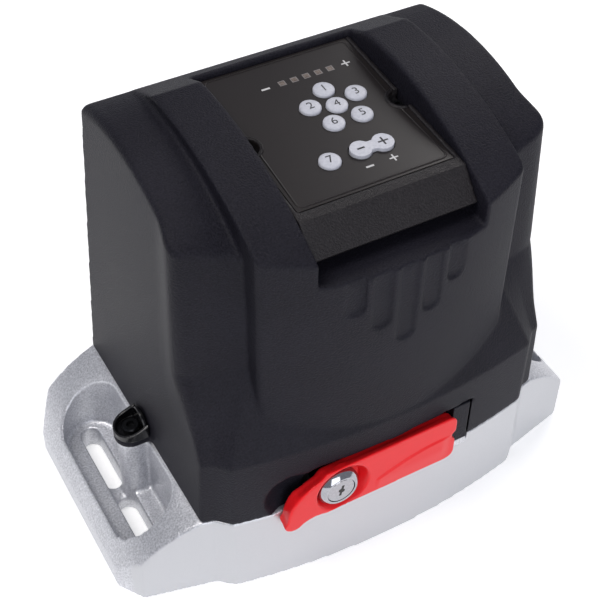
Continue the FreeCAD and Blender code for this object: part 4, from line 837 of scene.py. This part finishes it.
def square_ring(name, outer, inner, thick):
    """A small square frame, built flat about the origin."""
    form = bmesh.new()
    loops = [[form.verts.new((sx * r * MM, sy * r * MM, z * MM)) for sx, sy in CORNERS]
             for r, z in ((outer, 0), (outer, thick), (inner, thick), (inner, 0))]
    for a, b in zip(loops, loops[1:] + loops[:1]):
        for i in range(4):
            form.faces.new([a[i], a[(i + 1) % 4], b[(i + 1) % 4], b[i]])
    return new_object(name, closed_mesh(form, name))


lamp_spots = [(LAMP_FIRST + LAMP_PITCH * i, LAMP_ROW + PANEL_SHIFT, 0.0) for i in range(5)]
surrounds = repeated("lamp_surrounds", square_ring("lamp_square", 1.75, 1.3, 0.08), lamp_spots, LAMP_GREY)
surrounds.data.transform(PANEL)
hand_over(surrounds, "root", "panel_plastic", material=LAMP_GREY)

# %% [markdown]
# ## The frame line
# A low bead is pressed into the film all round, just inside its edge, and steps aside for the two
# half-round notches. A curve with a round section does it in one go: the bead is flattened a little, then
# made a mesh.

# %% Frame line of the overlay
NOTCH_X, NOTCH_Y = 41.0, -4.0
FRAME = {"half": 38.2, "back": 45.6, "front": -48.2, "notch": 7.6, "bend": 2.5}


def rounded_line(name, points, radius, place, flat=0.55):
    """A closed bead along points in millimetres, flattened a little."""
    curve = bpy.data.curves.new(name, "CURVE")
    curve.dimensions = "3D"
    run = curve.splines.new("POLY")
    run.points.add(len(points) - 1)
    for point, (x, y) in zip(run.points, points):
        point.co = (x * MM, y * MM, 0, 1)
    run.use_cyclic_u = True
    curve.bevel_depth = radius * MM
    curve.bevel_resolution = 3
    bead = new_object(name, curve)
    mesh = as_mesh(bead)
    bpy.data.objects.remove(bead)
    mesh.transform(place @ Matrix.Diagonal((1, 1, flat, 1)))
    return new_object(name, mesh)


def frame_outline(half, back, front, notch, bend):
    """Right half of a frame with a detour round the notch, mirrored to the left."""
    right = [(half - bend, front), (half - bend * 0.3, front + bend * 0.3), (half, front + bend)]
    for degrees in range(260, 99, -10):
        angle = math.radians(degrees)
        spot = (NOTCH_X + notch * math.cos(angle), NOTCH_Y + notch * math.sin(angle))
        if spot[0] < half:
            right.append(spot)
    right += [(half, back - bend), (half - bend * 0.3, back - bend * 0.3), (half - bend, back)]
    return right + [(-x, y) for x, y in reversed(right)]


edge_line = rounded_line("overlay_frame", frame_outline(**FRAME), 0.55, PANEL)
hand_over(edge_line, "root", "panel_plastic", crease=60.0)

print("frame line points", len(edge_line.data.vertices))

# %% [markdown]
# ## Rims of the notches
# A raised collar of the carrier borders each notch and guards the screw in it. It is the same kind of bead,
# drawn along an arc and straight back, so that the line closes and its two ends are sealed.

# %% Rims of the two notches
RIM_RADIUS = 7.0
for side, word in ((-1, "left"), (1, "right")):
    turns = [math.radians(a) for a in range(104, 257, 8)]
    rim = [(side * (NOTCH_X + RIM_RADIUS * math.cos(a)), NOTCH_Y + RIM_RADIUS * math.sin(a)) for a in turns]
    back_again = [(x - side * 0.05, y) for x, y in reversed(rim)]
    hand_over(rounded_line("notch_rim_" + word, rim + back_again, 0.95, PANEL, 1.0), "root", "housing_black",
              crease=60.0)

# %% [markdown]
# ## Screws
# The machine's screws are cut from one drawing: a low rounded head with a round socket, and a shank with fine
# rings for the thread, which stay rings because a true spiral would not show. Each set is spread by the same
# tree that placed the lamp surrounds, so a changed head changes every screw.

# %% A screw on the lathe
THREAD_PITCH = 0.55


def screw(name, radius, long, head, high, facing):
    """A socket screw whose head starts at the origin and whose shank runs the other way."""
    turns = int((long - 2.0) / THREAD_PITCH)
    thread = [(radius * (0.9 if i % 2 else 1.0), -long + 1.0 + i * THREAD_PITCH) for i in range(turns)]
    socket = head * 0.48
    profile = [(0, -long), (radius * 0.8, -long)] + thread + [
        (radius, 0), (head, 0), (head, high * 0.75), (head * 0.86, high), (socket, high),
        (socket, high * 0.35), (0, high * 0.3)]
    return lathe(name, profile, Vector(facing).to_track_quat("Z", "Y").to_matrix().to_4x4(), 24)


def screw_set(name, node, spots, sizes, facing, finish, plane=Matrix()):
    """Equal screws at spots in millimetres; sizes are shank radius, length, head radius and head height."""
    piece = repeated(name, screw(name + "_one", *sizes, facing), spots, finish)
    piece.data.transform(plane)
    hand_over(piece, "root", "zinc_steel", [node], finish, crease=35.0)


# %% [markdown]
# ## Five sets
# The cover's and the keypad's screws are blackened because they show; the rest, inside, are bright zinc.
# Spots on a circle or at the corners of a plate are worked out from the centre, as a drawing would give
# them.

# %% Screw sets
UP, ZINC = (0, 0, 1), FINISH["zinc_steel"]
CAP_SCREW_Z, TIE_CIRCLE, PLATE_Y = 58.2, 41.5, -22.0
screw_set("cover_screw_set", "cover_screws", [(side * CAP_X, 0, CAP_SCREW_Z) for side in (-1, 1)],
          (2.5, 24, 4.6, 3.2), UP, SCREW_DARK)
gear_spots = [(-2 + sx * 39, PLATE_Y, 78 + sz * 37) for sx in (-1, 1) for sz in (-1, 1)]
screw_set("gearbox_screw_set", "gearbox_screws", gear_spots, (2.0, 11, 4.0, 3.5), (0, -1, 0), ZINC)
tie_turns = [math.radians(65 + 90 * i) for i in range(4)]
tie_spots = [(45 + TIE_CIRCLE * math.cos(a), 5 + TIE_CIRCLE * math.sin(a), 190) for a in tie_turns]
screw_set("tie_bolt_set", "motor_tie_bolts", tie_spots, (1.95, 74, 3.8, 3.5), UP, ZINC)
board_spots = [(-56.6, y, z) for y, z in ((-30, 72), (40, 72), (-30, 180), (40, 180))]
screw_set("board_screw_set", "board_screws", board_spots, (1.5, 9, 3.0, 2.0), (-1, 0, 0), ZINC)
screw_set("keypad_screw_set", "keypad_screws", [(-39.3, NOTCH_Y, -5), (39.3, NOTCH_Y, -5)],
          (1.6, 14, 2.7, 2.2), UP, SCREW_DARK, PANEL)
